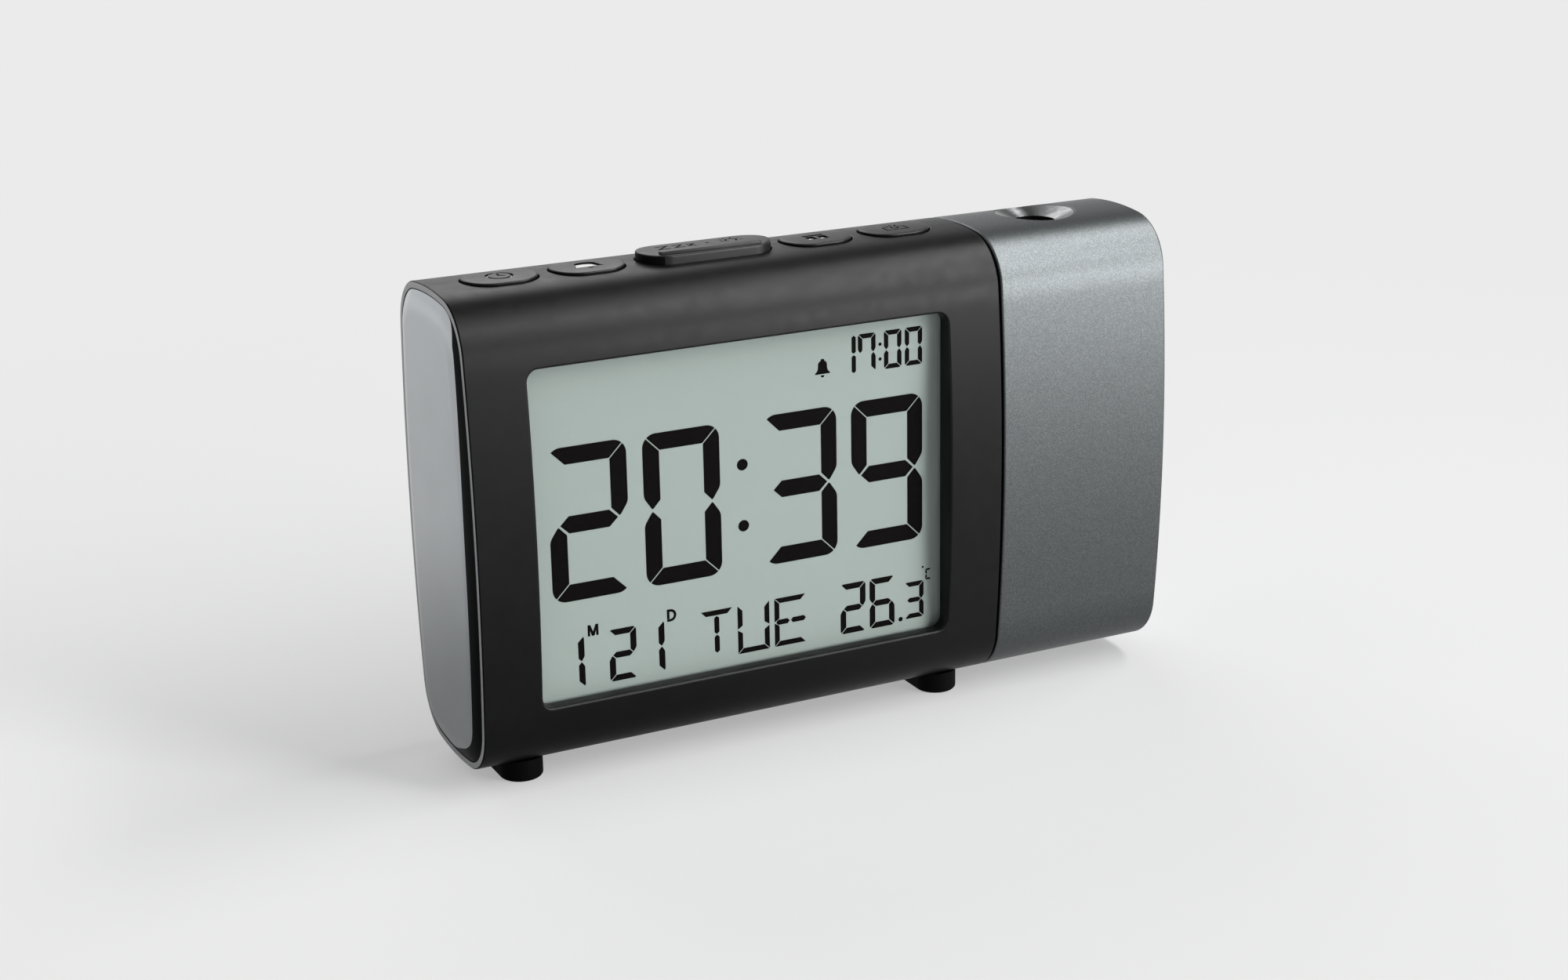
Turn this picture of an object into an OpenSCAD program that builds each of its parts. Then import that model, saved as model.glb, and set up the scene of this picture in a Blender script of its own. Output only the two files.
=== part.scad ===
/* [Body section] */
// Height of the pillow-shaped section
body_h = 80; // [79:0.5:82]
// Depth of the section, front to back
body_d = 33.3; // [33:0.1:34]
// Bow radius of the front and back faces
side_r = 318; // [300:1:340]
// Crown radius of the top and bottom faces
crown_r = 56; // [54:0.5:58]
// Radius of the four long corners
corner_r = 9.1; // [8.8:0.1:9.4]

/* [Lengths] */
// Length of the black main case
case_l = 95.8; // [95.6:0.1:97]
// Length of the grey projector head
head_l = 33.25; // [33:0.05:34]
// Running gap between case and head
swivel_gap = 0.45; // [0.35:0.05:0.6]

/* [Walls] */
// Wall of the main case
wall = 2.2; // [2.1:0.05:2.3]
// Wall of the projector head
head_wall = 1.8; // [1.7:0.05:1.9]
// Wall left around the glossy end panels
rim_wall = 1.25; // [1.1:0.05:1.4]
// Depth of the seat of each end panel
panel_seat = 3.2; // [3:0.1:3.6]
// Height of the dome of each end panel
panel_dome = 0.9; // [0.5:0.1:1]
// Width of the rounded band around each dome
panel_band = 4; // [3:0.5:5]

/* [Display] */
// Width of the display window
window_w = 75.4; // [74:0.1:76]
// Height of the display window
window_h = 56.8; // [55:0.1:57]
// Corner radius of the display window
window_r = 2; // [1:0.5:3]
// Depth of the clear window's face behind the section's middle plane
window_y = 12.95; // [12.9:0.01:12.97]

/* [Keys] */
// Length of a small key
key_l = 12.6; // [11:0.1:13]
// Width of a small key
key_w = 9.2; // [8:0.1:9.4]
// Height of a small key above the crown
key_proud = 0.4; // [0.3:0.05:0.6]
// Length of the snooze and light key
snooze_l = 23.8; // [22:0.1:24]
// Width of the snooze and light key
snooze_w = 9.2; // [8:0.1:9.4]
// Height of the snooze and light key above the crown
snooze_proud = 1.4; // [1.2:0.05:1.8]
// Distance of the inner small keys from the middle key
key_pitch_in = 20.8; // [20.5:0.1:21]
// Distance of the outer small keys from the middle key
key_pitch_out = 35.85; // [35.5:0.05:36]
// Gap between a key and its opening
key_gap = 0.2; // [0.15:0.01:0.3]
// Travel of every key
key_travel = 0.5; // [0.3:0.1:0.5]

/* [Feet] */
// Width of a rubber foot
foot_w = 7.4; // [6.5:0.1:8]
// Length of a rubber foot, front to back
foot_l = 21.2; // [18:0.1:23]
// Height of the case above the table
foot_drop = 2.6; // [2:0.1:4]
// Distance between the feet
foot_spacing = 79.2; // [76:0.1:80]
// Shift of the feet towards the projector head
foot_shift = 0.5; // [0:0.1:1]

/* [Battery compartment] */
// Diameter of a battery cell
cell_d = 10.5; // [10.3:0.1:10.5]
// Length of a battery cell with its nub
cell_l = 44.5; // [43.5:0.1:44.5]
// Wall of the battery box
box_wall = 1.2; // [1:0.1:1.2]
// Thickness of the battery door
door_t = 1.4; // [1.2:0.1:1.4]
// Clearance around the battery door
door_gap = 0.25; // [0.2:0.05:0.3]

/* [Swivel] */
// Radius of the hollow spigot that the head turns on
spigot_r = 8; // [7.8:0.1:8]
// Radius of the bore through the spigot
spigot_bore_r = 5.2; // [5:0.1:5.4]
// Radial play of the spigot in its bush
bush_play = 0.05; // [0.03:0.01:0.08]
// Radius of the turning circle of the stop pin
stop_circle_r = 11.3; // [11.2:0.05:11.4]
// Turn of the head each way
swivel_turn = 90; // [60:5:90]

/* [Projector] */
// Radius of the polished recess ring
ring_r = 7.1; // [6.8:0.1:7.4]
// Radius of the opening over the lens
aperture_r = 3.6; // [3.2:0.1:3.8]
// Offset of the optical axis towards the back
optic_y = 1.2; // [0.8:0.1:1.4]

/* [Hidden] */
$fn = 96;
smooth_fn = 360;
past = 1; // how far a cutter runs past the face that it opens
hair = 0.01; // overlap that keeps two faces from coinciding
slack = 0.05; // clearance of parts that are glued or clipped in place
loose = 0.1; // clearance of parts that drop in

case_black = [0.09, 0.09, 0.1];
key_black = [0.13, 0.13, 0.14];
rubber_black = [0.05, 0.05, 0.05];
part_black = [0.1, 0.1, 0.1];
panel_grey = [0.36, 0.38, 0.4];
head_grey = [0.45, 0.48, 0.5];
cell_grey = [0.55, 0.57, 0.6];
image_grey = [0.3, 0.32, 0.36];
moulding = [0.16, 0.16, 0.17];
display_green = [0.63, 0.68, 0.65];
board_green = [0.08, 0.32, 0.18];
steel = [0.72, 0.73, 0.75];
polished = [0.8, 0.82, 0.83];
clear = [0.85, 0.9, 0.92, 0.4];
guide_white = [0.9, 0.93, 0.9];
nylon_white = [0.9, 0.9, 0.86];
connector_cream = [0.92, 0.9, 0.84];
zebra_pink = [0.75, 0.5, 0.6];
sleeve_blue = [0.12, 0.14, 0.3];
bead_blue = [0.1, 0.25, 0.45];
lead_red = [0.7, 0.1, 0.08];
plunger_red = [0.6, 0.15, 0.1];

// Stations along the length, from the left end of the case
total_l = case_l + swivel_gap + head_l;
case_mid = case_l / 2;
head_from = case_l + swivel_gap;
optic_x = head_from + head_l / 2;

// Section: four long arcs joined by four corner arcs
side_off = side_r - body_d / 2;
crown_off = crown_r - body_h / 2;
centre_gap = norm([side_off, crown_off]);
side_reach = side_r - corner_r;
crown_reach = crown_r - corner_r;
corner_along = (side_reach ^ 2 - crown_reach ^ 2 + centre_gap ^ 2) / (2 * centre_gap);
corner_across = sqrt(side_reach ^ 2 - corner_along ^ 2);
corner_y = (side_off * corner_along + crown_off * corner_across) / centre_gap - side_off;
corner_z = (side_off * corner_across - crown_off * corner_along) / centre_gap;
side_end = atan2(corner_z, corner_y + side_off);
crown_end = atan2(corner_z + crown_off, corner_y);
corner_cut = 40; // reach of the wedge that clears a sharp corner

// Display stack, front to back
lens_t = 0.8;
lens_over = 2.2; // overlap of the window behind the case wall, at the sides
lens_up = 1.4; // the same at the top and bottom
lens_r = 1;
lcd_glass_t = 1.1;
lcd_y = -window_y + lens_t + slack;
guide_y = lcd_y + 2 * lcd_glass_t;
guide_t = 2.2;
frame_back_y = guide_y + guide_t + loose;
frame_side = 42.3;
frame_half_h = 30.7;
frame_back_t = 1.3;
pocket_side = 40.5;
pocket_half_h = 29.9;
frame_hole = [33, 20]; // half width and half height of the opening in the frame's back
board_y = frame_back_y + frame_back_t + loose;
board_t = 1.6;
board_back_y = board_y + board_t;
board_from = 5;
board_to = 87.3;
board_half_h = 35;
zebra_half_l = 37;
zebra_h = 1.8;
zebra_z = -28.9;
lamp_t = 1.8; // a backlight lamp, along the clock
lamp_w = 4;
lamp_from = 0.3; // from the pocket's side to the lamp
lamp_z = [-15, 0, 15];
glass_play = [0.3, 0.2]; // play of the glass in the pocket, sideways and up

// On the main board
blob_r = 6;
blob_h = 1.7;
blob_z = -22;
crystal_x = 58;
crystal_z = -19;
crystal_r = 1.5;
crystal_l = 8;
capacitor_x = [24, 33];
capacitor_z = -24;
capacitor_r = 3.1;
capacitor_h = 7;
connector_from = 70;
connector_to = 76;
connector_half_h = 3.5;
connector_y = 2;

// Screws
screw_r = 0.9;
screw_clear_r = 1.15;
screw_head_r = 1.9;
screw_head_h = 1.1;
boss_r = 2.4;
board_boss_x = 30;
board_boss_z = 33.6;
plate_boss_y = 9.6;
plate_boss_z = 33.5;
plate_boss_r = 2.6;
plate_boss_l = 8;
board_screw_l = 5;
plate_screw_l = 6.5;
tip_room = 0.5; // depth of a screw hole beyond the screw's tip
boss_root = 0.5; // how far a boss runs into the wall

// Keys and their switches
key_flange = 0.8;
key_flange_t = 0.75;
key_under_z = 36.75;
key_board_z = 31.8;
key_board_t = 1.2;
key_board_front = -3.3;
key_board_back = 6.5;
key_board_to = board_to + 3;
switch_w = 6;
switch_h = 2.6;
switch_floor = 0.4;
switch_bore_r = 1.58;
switch_contact = 0.7; // height of the contact that a plunger presses
plunger_r = 1.5;
plunger_z = key_board_z + key_board_t + switch_floor + switch_contact + key_travel;
snooze_bar = [18.2, 1.25, 1.35]; // the last is its height, most of it inside the key
snooze_bar_rise = 0.35;
snooze_bar_y = -3.4;
crown_cut_z = 30; // where the cutters through the crown start

// Feet
stem_r = 2;
stem_y = 5;
stem_l = 3.5;
foot_root = 2; // how far the block for a foot runs up, before the case's shape is cut away

// Battery compartment
cell_gap = 0.5;
cell_play = 0.35; // above and below the cells
cell_rest = 0.15; // behind the cells
contact_t = 0.4;
spring_l = 6.2;
cavity_l = cell_l + spring_l + 2 * contact_t;
cavity_from = 14.2;
cavity_to = cavity_from + cavity_l;
cavity_mid = (cavity_from + cavity_to) / 2;
cavity_half_h = cell_d + cell_gap / 2 + cell_play;
box_front_y = 1.6;
box_back_y = 14.1;
box_leg = [20, 8]; // place of a leg from the box's middle
box_leg_r = 1.8;
cell_y = box_front_y + box_wall + cell_rest + cell_d / 2;
cell_z = (cell_d + cell_gap) / 2;
nub_r = 1.8;
nub_l = 1;
contact_side = 8.6;
ledge_w = 2;
door_l = cavity_l + 2 * ledge_w;
door_h = 2 * cavity_half_h + 2 * ledge_w;
door_r = 3;
cavity_r = 1;
door_rib_t = 0.8;
door_rib_z = cavity_half_h - door_rib_t;
groove = [10, 1.2, 0.7]; // the door's finger groove: length, height and depth
groove_corner_r = 0.5;
groove_drop = 1; // from the cavity's top edge
wire_r = 0.35;

// Rear openings
buzzer_x = 77.5;
buzzer_z = 13;
buzzer_r = 8.5;
buzzer_y = 9.9;
buzzer_t = 4;
buzzer_hole_r = 1.2;
buzzer_hole_l = 1;
cup_wall = 1.2; // of the ring that holds the buzzer
cup_floor = 0.6;
cup_rise = 1; // how far the ring's edge stays behind the buzzer's
inlet_x = 77.5;
inlet_z = -17;
inlet_side = 9;
inlet_back_y = 13.5;
inlet_l = 10.5;
inlet_nose_r = 2.9;
inlet_hole_r = 1.8;
inlet_nose_back = 0.6; // from the back of the case to the nose
inlet_pin_back = 1.6;
inlet_hole_l = 7;
inlet_pin_r = 0.65;
sensor_x = 77.5;
sensor_z = -31;
sensor_leg_x = 0.7;
sensor_leg_r = 0.3;
bead_y = 9.9;
bead_r = 1.5;
vent_w = 1.2;
vent_r = 0.5;
sound_slot_l = 11; // the middle slot; each next one is a little shorter
air_slot_l = 8;

// Swivel, from the head inwards
plate_set = 0.5; // from the case's edge to the bearing plate
plate_to = case_l - plate_set;
plate_t = 2.7;
plate_from = plate_to - plate_t;
bush_r = 9.5;
bush_flange_r = 11;
bush_flange_t = 1.4;
washer_t = 0.7;
clip_t = 0.9;
clip_r = 10.4;
clip_clear = 0.6; // room around the clip
clip_mouth = 5.5;
groove_r = 7.2;
groove_to = plate_from - bush_flange_t - washer_t - slack;
groove_from = groove_to - clip_t - slack;
spigot_lip = 1.2;
spigot_from = groove_from - spigot_lip;
bulkhead_set = 0.35; // from the shell's edge to the bulkhead
bulkhead_from = head_from + bulkhead_set;
bulkhead_t = 2.4;
bulkhead_to = bulkhead_from + bulkhead_t;
bulkhead_skin = 0.8; // left under a screw hole
stop_pin_r = 0.9;
stop_groove_half = 1.1;
stop_groove_depth = 1.2;
stop_pin_dip = 0.8;
stop_pin_end = plate_to - stop_pin_dip;
stop_slack = 0.5; // degrees left at each end of the groove

// Projector optics, heights above the section's middle
cone_top_z = 39.25;
cone_foot_z = 37.8;
cone_rim = 0.1;
ring_foot_z = 35.2;
ring_flange_r = 8.5;
ring_flange_t = 1.4;
barrel_r = 5;
barrel_bore_r = 4.1;
barrel_foot_z = 20;
lens_edge_r = 4.05;
lens_mid_t = 2.4;
lens_ball_r = 11;
front_lens_z = 33.3;
rear_lens_z = 23.2;
bracket_side = 15;
bracket_bore = 11.8;
bracket_top_z = 24;
collar_foot_z = 18;
image_z = 14;
image_t = 1.1;
condenser_r = 5.7;
condenser_z = 7.5;
condenser_t = 3.2;
condenser_ball_r = 8;
led_board_t = 1.4;
led_board_z = -4;
led_foot_z = led_board_z + led_board_t;
led_r = 2.5;
led_l = 6;
led_rim_r = 2.9;
led_rim_t = 1;
socket_set = 2; // from the bulkhead to the socket
socket_from = bulkhead_to + socket_set;
socket_l = 4;
socket_w = 6;
socket_top_z = 2.5;
lead_r = 0.6;
lead_spread = 0.75;
flange_foot_z = 5;
flange_t = 1.6;
flange_screw_in = 3; // from the flange's ends to its screws
rib_t = 2;
rib_in = 6; // from the flange's ends to its ribs
post_x = 8.6; // posts for the LED board, from the optical axis
post_y = 5;
post_r = 2;
post_l = 6;

// ---- shared shapes ----

// Puts the section's middle at the right height and centres the length
module placed() {
    translate([-total_l / 2, 0, foot_drop + body_h / 2]) children();
}

module section(inset = 0) {
    difference() {
        intersection() {
            translate([-side_off, 0]) circle(side_r - inset, $fn = smooth_fn);
            translate([side_off, 0]) circle(side_r - inset, $fn = smooth_fn);
            translate([0, -crown_off]) circle(crown_r - inset, $fn = smooth_fn);
            translate([0, crown_off]) circle(crown_r - inset, $fn = smooth_fn);
        }
        corner_wedges();
    }
    for (m = [-1, 1], n = [-1, 1]) translate([m * corner_y, n * corner_z]) circle(corner_r - inset + hair);
}

// Clears the sharp corners that the four large discs leave beyond the corner arcs
module corner_wedges() {
    for (m = [0, 1], n = [0, 1]) mirror([m, 0]) mirror([0, n]) translate([corner_y, corner_z])
        polygon([
            [0, 0],
            corner_cut * [cos(side_end), sin(side_end)],
            2 * corner_cut * [cos(45), sin(45)],
            corner_cut * [cos(crown_end), sin(crown_end)]
        ]);
}

// A disc whose upper edge falls away in a round band
module soft_disc(r, band, h) {
    arc_r = (band ^ 2 + h ^ 2) / (2 * h);
    rotate_extrude($fn = smooth_fn) {
        square([r - band, h]);
        intersection() {
            translate([r - band - hair, 0]) square([band + hair, h]);
            translate([r - band, h - arc_r]) circle(arc_r, $fn = smooth_fn);
        }
    }
}

// The section as a low dome: flat in the middle and round along its edge
module pillow(inset, band, h) {
    difference() {
        intersection() {
            translate([-side_off, 0, 0]) soft_disc(side_r - inset, band, h);
            translate([side_off, 0, 0]) soft_disc(side_r - inset, band, h);
            translate([0, -crown_off, 0]) soft_disc(crown_r - inset, band, h);
            translate([0, crown_off, 0]) soft_disc(crown_r - inset, band, h);
        }
        translate([0, 0, -past]) linear_extrude(h + 2 * past) corner_wedges();
    }
    for (m = [-1, 1], n = [-1, 1]) translate([m * corner_y, n * corner_z, 0])
        soft_disc(corner_r - inset, band, h);
}

// The section run along the length between two stations
module bar(from, to, inset = 0) {
    translate([from, 0, 0]) rotate([90, 0, 90]) linear_extrude(to - from) section(inset);
}

// The hollow of the case: the inset section with a flat front for the display
module case_hollow(from, to, inset) {
    intersection() {
        bar(from, to, inset);
        translate([from - past, -window_y, -body_h]) cube([to - from + 2 * past, 2 * body_d, 2 * body_h]);
    }
}

// A rectangular block given by its two corners
module block(low, high) {
    translate(low) cube(high - low);
}

// A plate facing the front: width along X, height along Z, rounded corners
module front_plate(mid_x, mid_z, w, h, from_y, to_y, r) {
    translate([mid_x, to_y, mid_z]) rotate([90, 0, 0]) linear_extrude(to_y - from_y) {
        square([w - 2 * r, h], center = true);
        square([w, h - 2 * r], center = true);
        for (m = [-1, 1], n = [-1, 1]) translate([m * (w / 2 - r), n * (h / 2 - r)]) circle(r);
    }
}

// A slot-shaped prism standing on Z, long along X
module stadium(mid_x, l, w, from_z, to_z) {
    translate([mid_x, 0, from_z]) linear_extrude(to_z - from_z) {
        square([l - w, w], center = true);
        for (m = [-1, 1]) translate([m * (l - w) / 2, 0]) circle(w / 2);
    }
}

module rod_x(from, to, r) {
    translate([from, 0, 0]) rotate([0, 90, 0]) cylinder(h = to - from, r = r);
}

module rod_y(from, to, r) {
    translate([0, from, 0]) rotate([-90, 0, 0]) cylinder(h = to - from, r = r);
}

// A tube of small wire along a path, closed at both ends
module wire(path, r, sides = 6) {
    rings = [for (i = [0:len(path) - 1])
        let(
            ahead = path[min(i + 1, len(path) - 1)] - path[max(i - 1, 0)],
            run = ahead / norm(ahead),
            across = cross(run, [1, 0, 0]),
            side = across / norm(across),
            up = cross(side, run)
        )
        for (k = [0:sides - 1]) path[i] + r * (cos(360 * k / sides) * side + sin(360 * k / sides) * up)
    ];
    last = len(path) - 1;
    walls = [for (i = [0:last - 1], k = [0:sides - 1])
        [i * sides + k, i * sides + (k + 1) % sides, (i + 1) * sides + (k + 1) % sides, (i + 1) * sides + k]
    ];
    polyhedron(
        points = rings,
        faces = concat([[for (k = [sides - 1:-1:0]) k]], walls, [[for (k = [0:sides - 1]) last * sides + k]]),
        convexity = 6
    );
}

function key_x(index) = case_mid + [-key_pitch_out, -key_pitch_in, 0, key_pitch_in, key_pitch_out][index];

// ---- main case ----

module window_cut() {
    front_plate(case_mid, 0, window_w, window_h, -body_d, -window_y + past, window_r);
}

module key_openings() {
    for (i = [0, 1, 3, 4])
        stadium(key_x(i), key_l + 2 * key_gap, key_w + 2 * key_gap, crown_cut_z, body_h);
    stadium(key_x(2), snooze_l + 2 * key_gap, snooze_w + 2 * key_gap, crown_cut_z, body_h);
}

// The recess that the battery door drops into, as deep as the door is thick
module door_recess() {
    difference() {
        front_plate(cavity_mid, 0, door_l + 2 * door_gap, door_h + 2 * door_gap, 0, body_d, door_r);
        bar(0, case_l, door_t + slack);
    }
}

module rear_openings() {
    front_plate(cavity_mid, 0, cavity_l, 2 * cavity_half_h, 0, body_d, cavity_r);
    door_recess();
    for (i = [-3:3])
        front_plate(buzzer_x + 2 * vent_w * i, buzzer_z, vent_w, sound_slot_l - abs(i), 0, body_d, vent_r);
    for (i = [-1:1])
        front_plate(sensor_x, sensor_z + 2 * vent_w * i, air_slot_l, vent_w, 0, body_d, vent_r);
    translate([inlet_x, 0, inlet_z]) rod_y(0, body_d, inlet_nose_r + loose);
}

module foot_sockets() {
    for (m = [-1, 1], n = [-1, 1])
        translate([case_mid + foot_shift + m * foot_spacing / 2, n * stem_y, -body_h / 2 - past])
            cylinder(h = wall + 2 * past, r = stem_r);
}

module case_bosses() {
    for (m = [-1, 1], n = [-1, 1]) {
        translate([case_mid + m * board_boss_x, 0, n * board_boss_z])
            rod_y(-window_y - boss_root, board_y, boss_r);
        translate([0, m * plate_boss_y, n * plate_boss_z])
            rod_x(plate_from - plate_boss_l, plate_from, plate_boss_r);
    }
    translate([buzzer_x, 0, buzzer_z])
        rod_y(buzzer_y + cup_rise, buzzer_y + buzzer_t + cup_floor, buzzer_r + cup_wall);
}

module boss_holes() {
    for (m = [-1, 1], n = [-1, 1]) {
        translate([case_mid + m * board_boss_x, 0, n * board_boss_z])
            rod_y(board_y - board_screw_l - tip_room, board_y + past, screw_r);
        translate([0, m * plate_boss_y, n * plate_boss_z])
            rod_x(plate_from - plate_screw_l - tip_room, plate_from + past, screw_r);
    }
    translate([buzzer_x, 0, buzzer_z]) rod_y(0, buzzer_y + buzzer_t, buzzer_r);
}

module case_sleeve() {
    color(case_black) placed() difference() {
        union() {
            difference() {
                bar(0, case_l);
                case_hollow(panel_seat, case_l + past, wall);
                bar(-past, panel_seat + hair, rim_wall);
            }
            intersection() {
                case_bosses();
                bar(panel_seat, case_l, wall / 2);
            }
        }
        boss_holes();
        window_cut();
        key_openings();
        rear_openings();
        foot_sockets();
    }
}

// Glossy domed panel, hollow behind, with three tongues that clip inside the case
module domed_panel(hollow_inset) {
    tongue_l = 5;
    tongue_w = 5;
    tongue_t = 1.2;
    tongue_z = 18;
    skin = 1.2;
    tongue_inset = hollow_inset + 2 * slack;
    translate([slack, 0, 0]) rotate([90, 0, -90]) pillow(rim_wall + slack, panel_band, panel_dome);
    difference() {
        bar(slack, panel_seat - slack, rim_wall + slack);
        bar(skin, panel_seat, tongue_inset + tongue_t);
    }
    intersection() {
        difference() {
            bar(skin, panel_seat + tongue_l, tongue_inset);
            bar(0, panel_seat + 2 * tongue_l, tongue_inset + tongue_t);
        }
        union() {
            block([0, -tongue_w / 2, -body_h], [2 * tongue_l, tongue_w / 2, 0]);
            for (n = [-1, 1]) translate([0, 0, n * tongue_z])
                block([0, 0, -tongue_w / 2], [2 * tongue_l, body_d, tongue_w / 2]);
        }
    }
}

module end_panel() {
    color(panel_grey) placed() domed_panel(wall);
}

module window_lens() {
    color(clear) placed() front_plate(
        case_mid, 0, window_w + 2 * lens_over, window_h + 2 * lens_up, -window_y, -window_y + lens_t, lens_r
    );
}

module lcd_panel() {
    half_w = pocket_side - glass_play[0];
    half_h = pocket_half_h - glass_play[1];
    color(display_green) placed() {
        block([case_mid - half_w, lcd_y, -half_h], [case_mid + half_w, lcd_y + lcd_glass_t, half_h]);
        block(
            [case_mid - half_w, lcd_y + lcd_glass_t, zebra_z + zebra_h],
            [case_mid + half_w, guide_y, half_h]
        );
    }
}

module light_guide() {
    color(guide_white) placed() block(
        [case_mid - pocket_side + lamp_from + lamp_t + loose, guide_y, zebra_z + zebra_h],
        [case_mid + pocket_side - 2 * loose, guide_y + guide_t, pocket_half_h - 3 * loose]
    );
}

module backlight_leds() {
    from_x = case_mid - pocket_side + lamp_from;
    color("white") placed() for (z = lamp_z) block(
        [from_x, guide_y + 2 * loose, z - lamp_w / 2],
        [from_x + lamp_t, board_y, z + lamp_w / 2]
    );
}

module zebra_strip() {
    color(zebra_pink) placed() block(
        [case_mid - zebra_half_l, lcd_y + lcd_glass_t, zebra_z - zebra_h / 2],
        [case_mid + zebra_half_l, board_y, zebra_z + zebra_h / 2]
    );
}

module display_frame() {
    color(moulding) placed() difference() {
        block(
            [case_mid - frame_side, -window_y + slack, -frame_half_h],
            [case_mid + frame_side, board_y - slack, frame_half_h]
        );
        block(
            [case_mid - pocket_side, -body_d, -pocket_half_h],
            [case_mid + pocket_side, frame_back_y, pocket_half_h]
        );
        block(
            [case_mid - frame_hole[0], -body_d, -frame_hole[1]],
            [case_mid + frame_hole[0], body_d, frame_hole[1]]
        );
        block(
            [case_mid - zebra_half_l - 2 * loose, -body_d, zebra_z - zebra_h / 2 - loose],
            [case_mid + zebra_half_l + 2 * loose, body_d, zebra_z + zebra_h / 2 + loose]
        );
        for (z = lamp_z) block(
            [case_mid - pocket_side + lamp_from - loose, -body_d, z - lamp_w / 2 - 2 * loose],
            [case_mid - pocket_side + lamp_from + lamp_t + loose, body_d, z + lamp_w / 2 + 2 * loose]
        );
        rod_x(case_mid + pocket_side - glass_play[0], total_l, clip_r + clip_clear);
    }
}

module main_board() {
    color(board_green) placed() difference() {
        block([board_from, board_y, -board_half_h], [board_to, board_back_y, board_half_h]);
        for (m = [-1, 1], n = [-1, 1]) translate([case_mid + m * board_boss_x, 0, n * board_boss_z])
            rod_y(-body_d, body_d, screw_clear_r);
    }
}

module board_screws() {
    color(steel) placed() for (m = [-1, 1], n = [-1, 1])
        translate([case_mid + m * board_boss_x, 0, n * board_boss_z]) {
            rod_y(board_back_y, board_back_y + screw_head_h, screw_head_r);
            rod_y(board_y - board_screw_l, board_back_y, screw_r);
        }
}

module controller_blob() {
    ball_r = (blob_r ^ 2 + blob_h ^ 2) / (2 * blob_h);
    color(part_black) placed() translate([case_mid, board_back_y, blob_z]) intersection() {
        translate([0, blob_h - ball_r, 0]) sphere(ball_r);
        rod_y(0, 2 * blob_h, blob_r);
    }
}

module quartz_crystal() {
    color(steel) placed() translate([crystal_x, board_back_y + crystal_r + slack, crystal_z])
        rod_x(0, crystal_l, crystal_r);
}

module capacitors() {
    color(sleeve_blue) placed() for (x = capacitor_x)
        translate([x, 0, capacitor_z]) rod_y(board_back_y, board_back_y + capacitor_h, capacitor_r);
}

module temperature_sensor() {
    color(bead_blue) placed() translate([sensor_x, 0, sensor_z]) {
        for (m = [-1, 1]) translate([m * sensor_leg_x, 0, 0]) rod_y(board_back_y, bead_y, sensor_leg_r);
        translate([0, bead_y, 0]) sphere(bead_r);
    }
}

module lead_connector() {
    color(connector_cream) placed() block(
        [connector_from, board_back_y, -connector_half_h],
        [connector_to, connector_y, connector_half_h]
    );
}

// Four wires of the projector's lead, which run along the swivel's axis
module projector_lead() {
    color(lead_red) placed() for (m = [-1, 1], n = [-1, 1])
        translate([0, m * lead_spread, n * lead_spread])
            rod_x(connector_to, socket_from - 3 * loose, lead_r);
}

module key_board() {
    color(board_green) placed() block(
        [board_from, key_board_front, key_board_z],
        [key_board_to, key_board_back, key_board_z + key_board_t]
    );
}

module key_switches() {
    color(moulding) placed() for (i = [0:4])
        translate([key_x(i), 0, key_board_z + key_board_t]) difference() {
            translate([-switch_w / 2, -switch_w / 2, 0]) cube([switch_w, switch_w, switch_h]);
            translate([0, 0, switch_floor]) cylinder(h = switch_h, r = switch_bore_r);
        }
}

module foot(side) {
    color(rubber_black) placed()
        translate([case_mid + foot_shift + side * foot_spacing / 2, 0, 0]) {
            difference() {
                rotate([0, 0, 90])
                    stadium(0, foot_l, foot_w, -body_h / 2 - foot_drop, -body_h / 2 + foot_root);
                bar(-foot_w, foot_w);
            }
            for (m = [-1, 1]) translate([0, m * stem_y, -body_h / 2])
                cylinder(h = stem_l, r = stem_r);
        }
}

module left_foot() {
    foot(-1);
}

module right_foot() {
    foot(1);
}

// ---- power ----

module battery_box() {
    color(moulding) placed() {
        difference() {
            block(
                [cavity_from - box_wall, box_front_y, -cavity_half_h - box_wall],
                [cavity_to + box_wall, box_back_y, cavity_half_h + box_wall]
            );
            block(
                [cavity_from, box_front_y + box_wall, -cavity_half_h],
                [cavity_to, body_d, cavity_half_h]
            );
        }
        for (m = [-1, 1], n = [-1, 1]) translate([cavity_mid + m * box_leg[0], 0, n * box_leg[1]])
            rod_y(board_back_y, box_front_y, box_leg_r);
    }
}

// A cell whose nub is at its local +X end
module cell() {
    rod_x(0, cell_l - nub_l, cell_d / 2);
    rod_x(cell_l - nub_l, cell_l, nub_r);
}

module upper_cell() {
    color(cell_grey) placed()
        translate([cavity_to - contact_t - cell_l, cell_y, cell_z]) cell();
}

module lower_cell() {
    color(cell_grey) placed()
        translate([cavity_from + contact_t + cell_l, cell_y, -cell_z]) rotate([0, 0, 180]) cell();
}

module battery_contacts() {
    color(steel) placed() for (x = [cavity_from, cavity_to - contact_t], n = [-1, 1])
        block(
            [x, cell_y - contact_side / 2, n * cell_z - contact_side / 2],
            [x + contact_t, cell_y + contact_side / 2, n * cell_z + contact_side / 2]
        );
}

// Conical coil, wide at its plate and narrow at the cell
module coil_spring() {
    turns = 4;
    steps = 16 * turns;
    wide_r = 3.4;
    narrow_r = 2;
    run = spring_l - 2 * wire_r - 2 * slack;
    wire([for (i = [0:steps])
        let(t = i / steps, turn = 360 * turns * t, r = wide_r + (narrow_r - wide_r) * t)
        [wire_r + slack + run * t, r * cos(turn), r * sin(turn)]
    ], wire_r);
}

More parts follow.
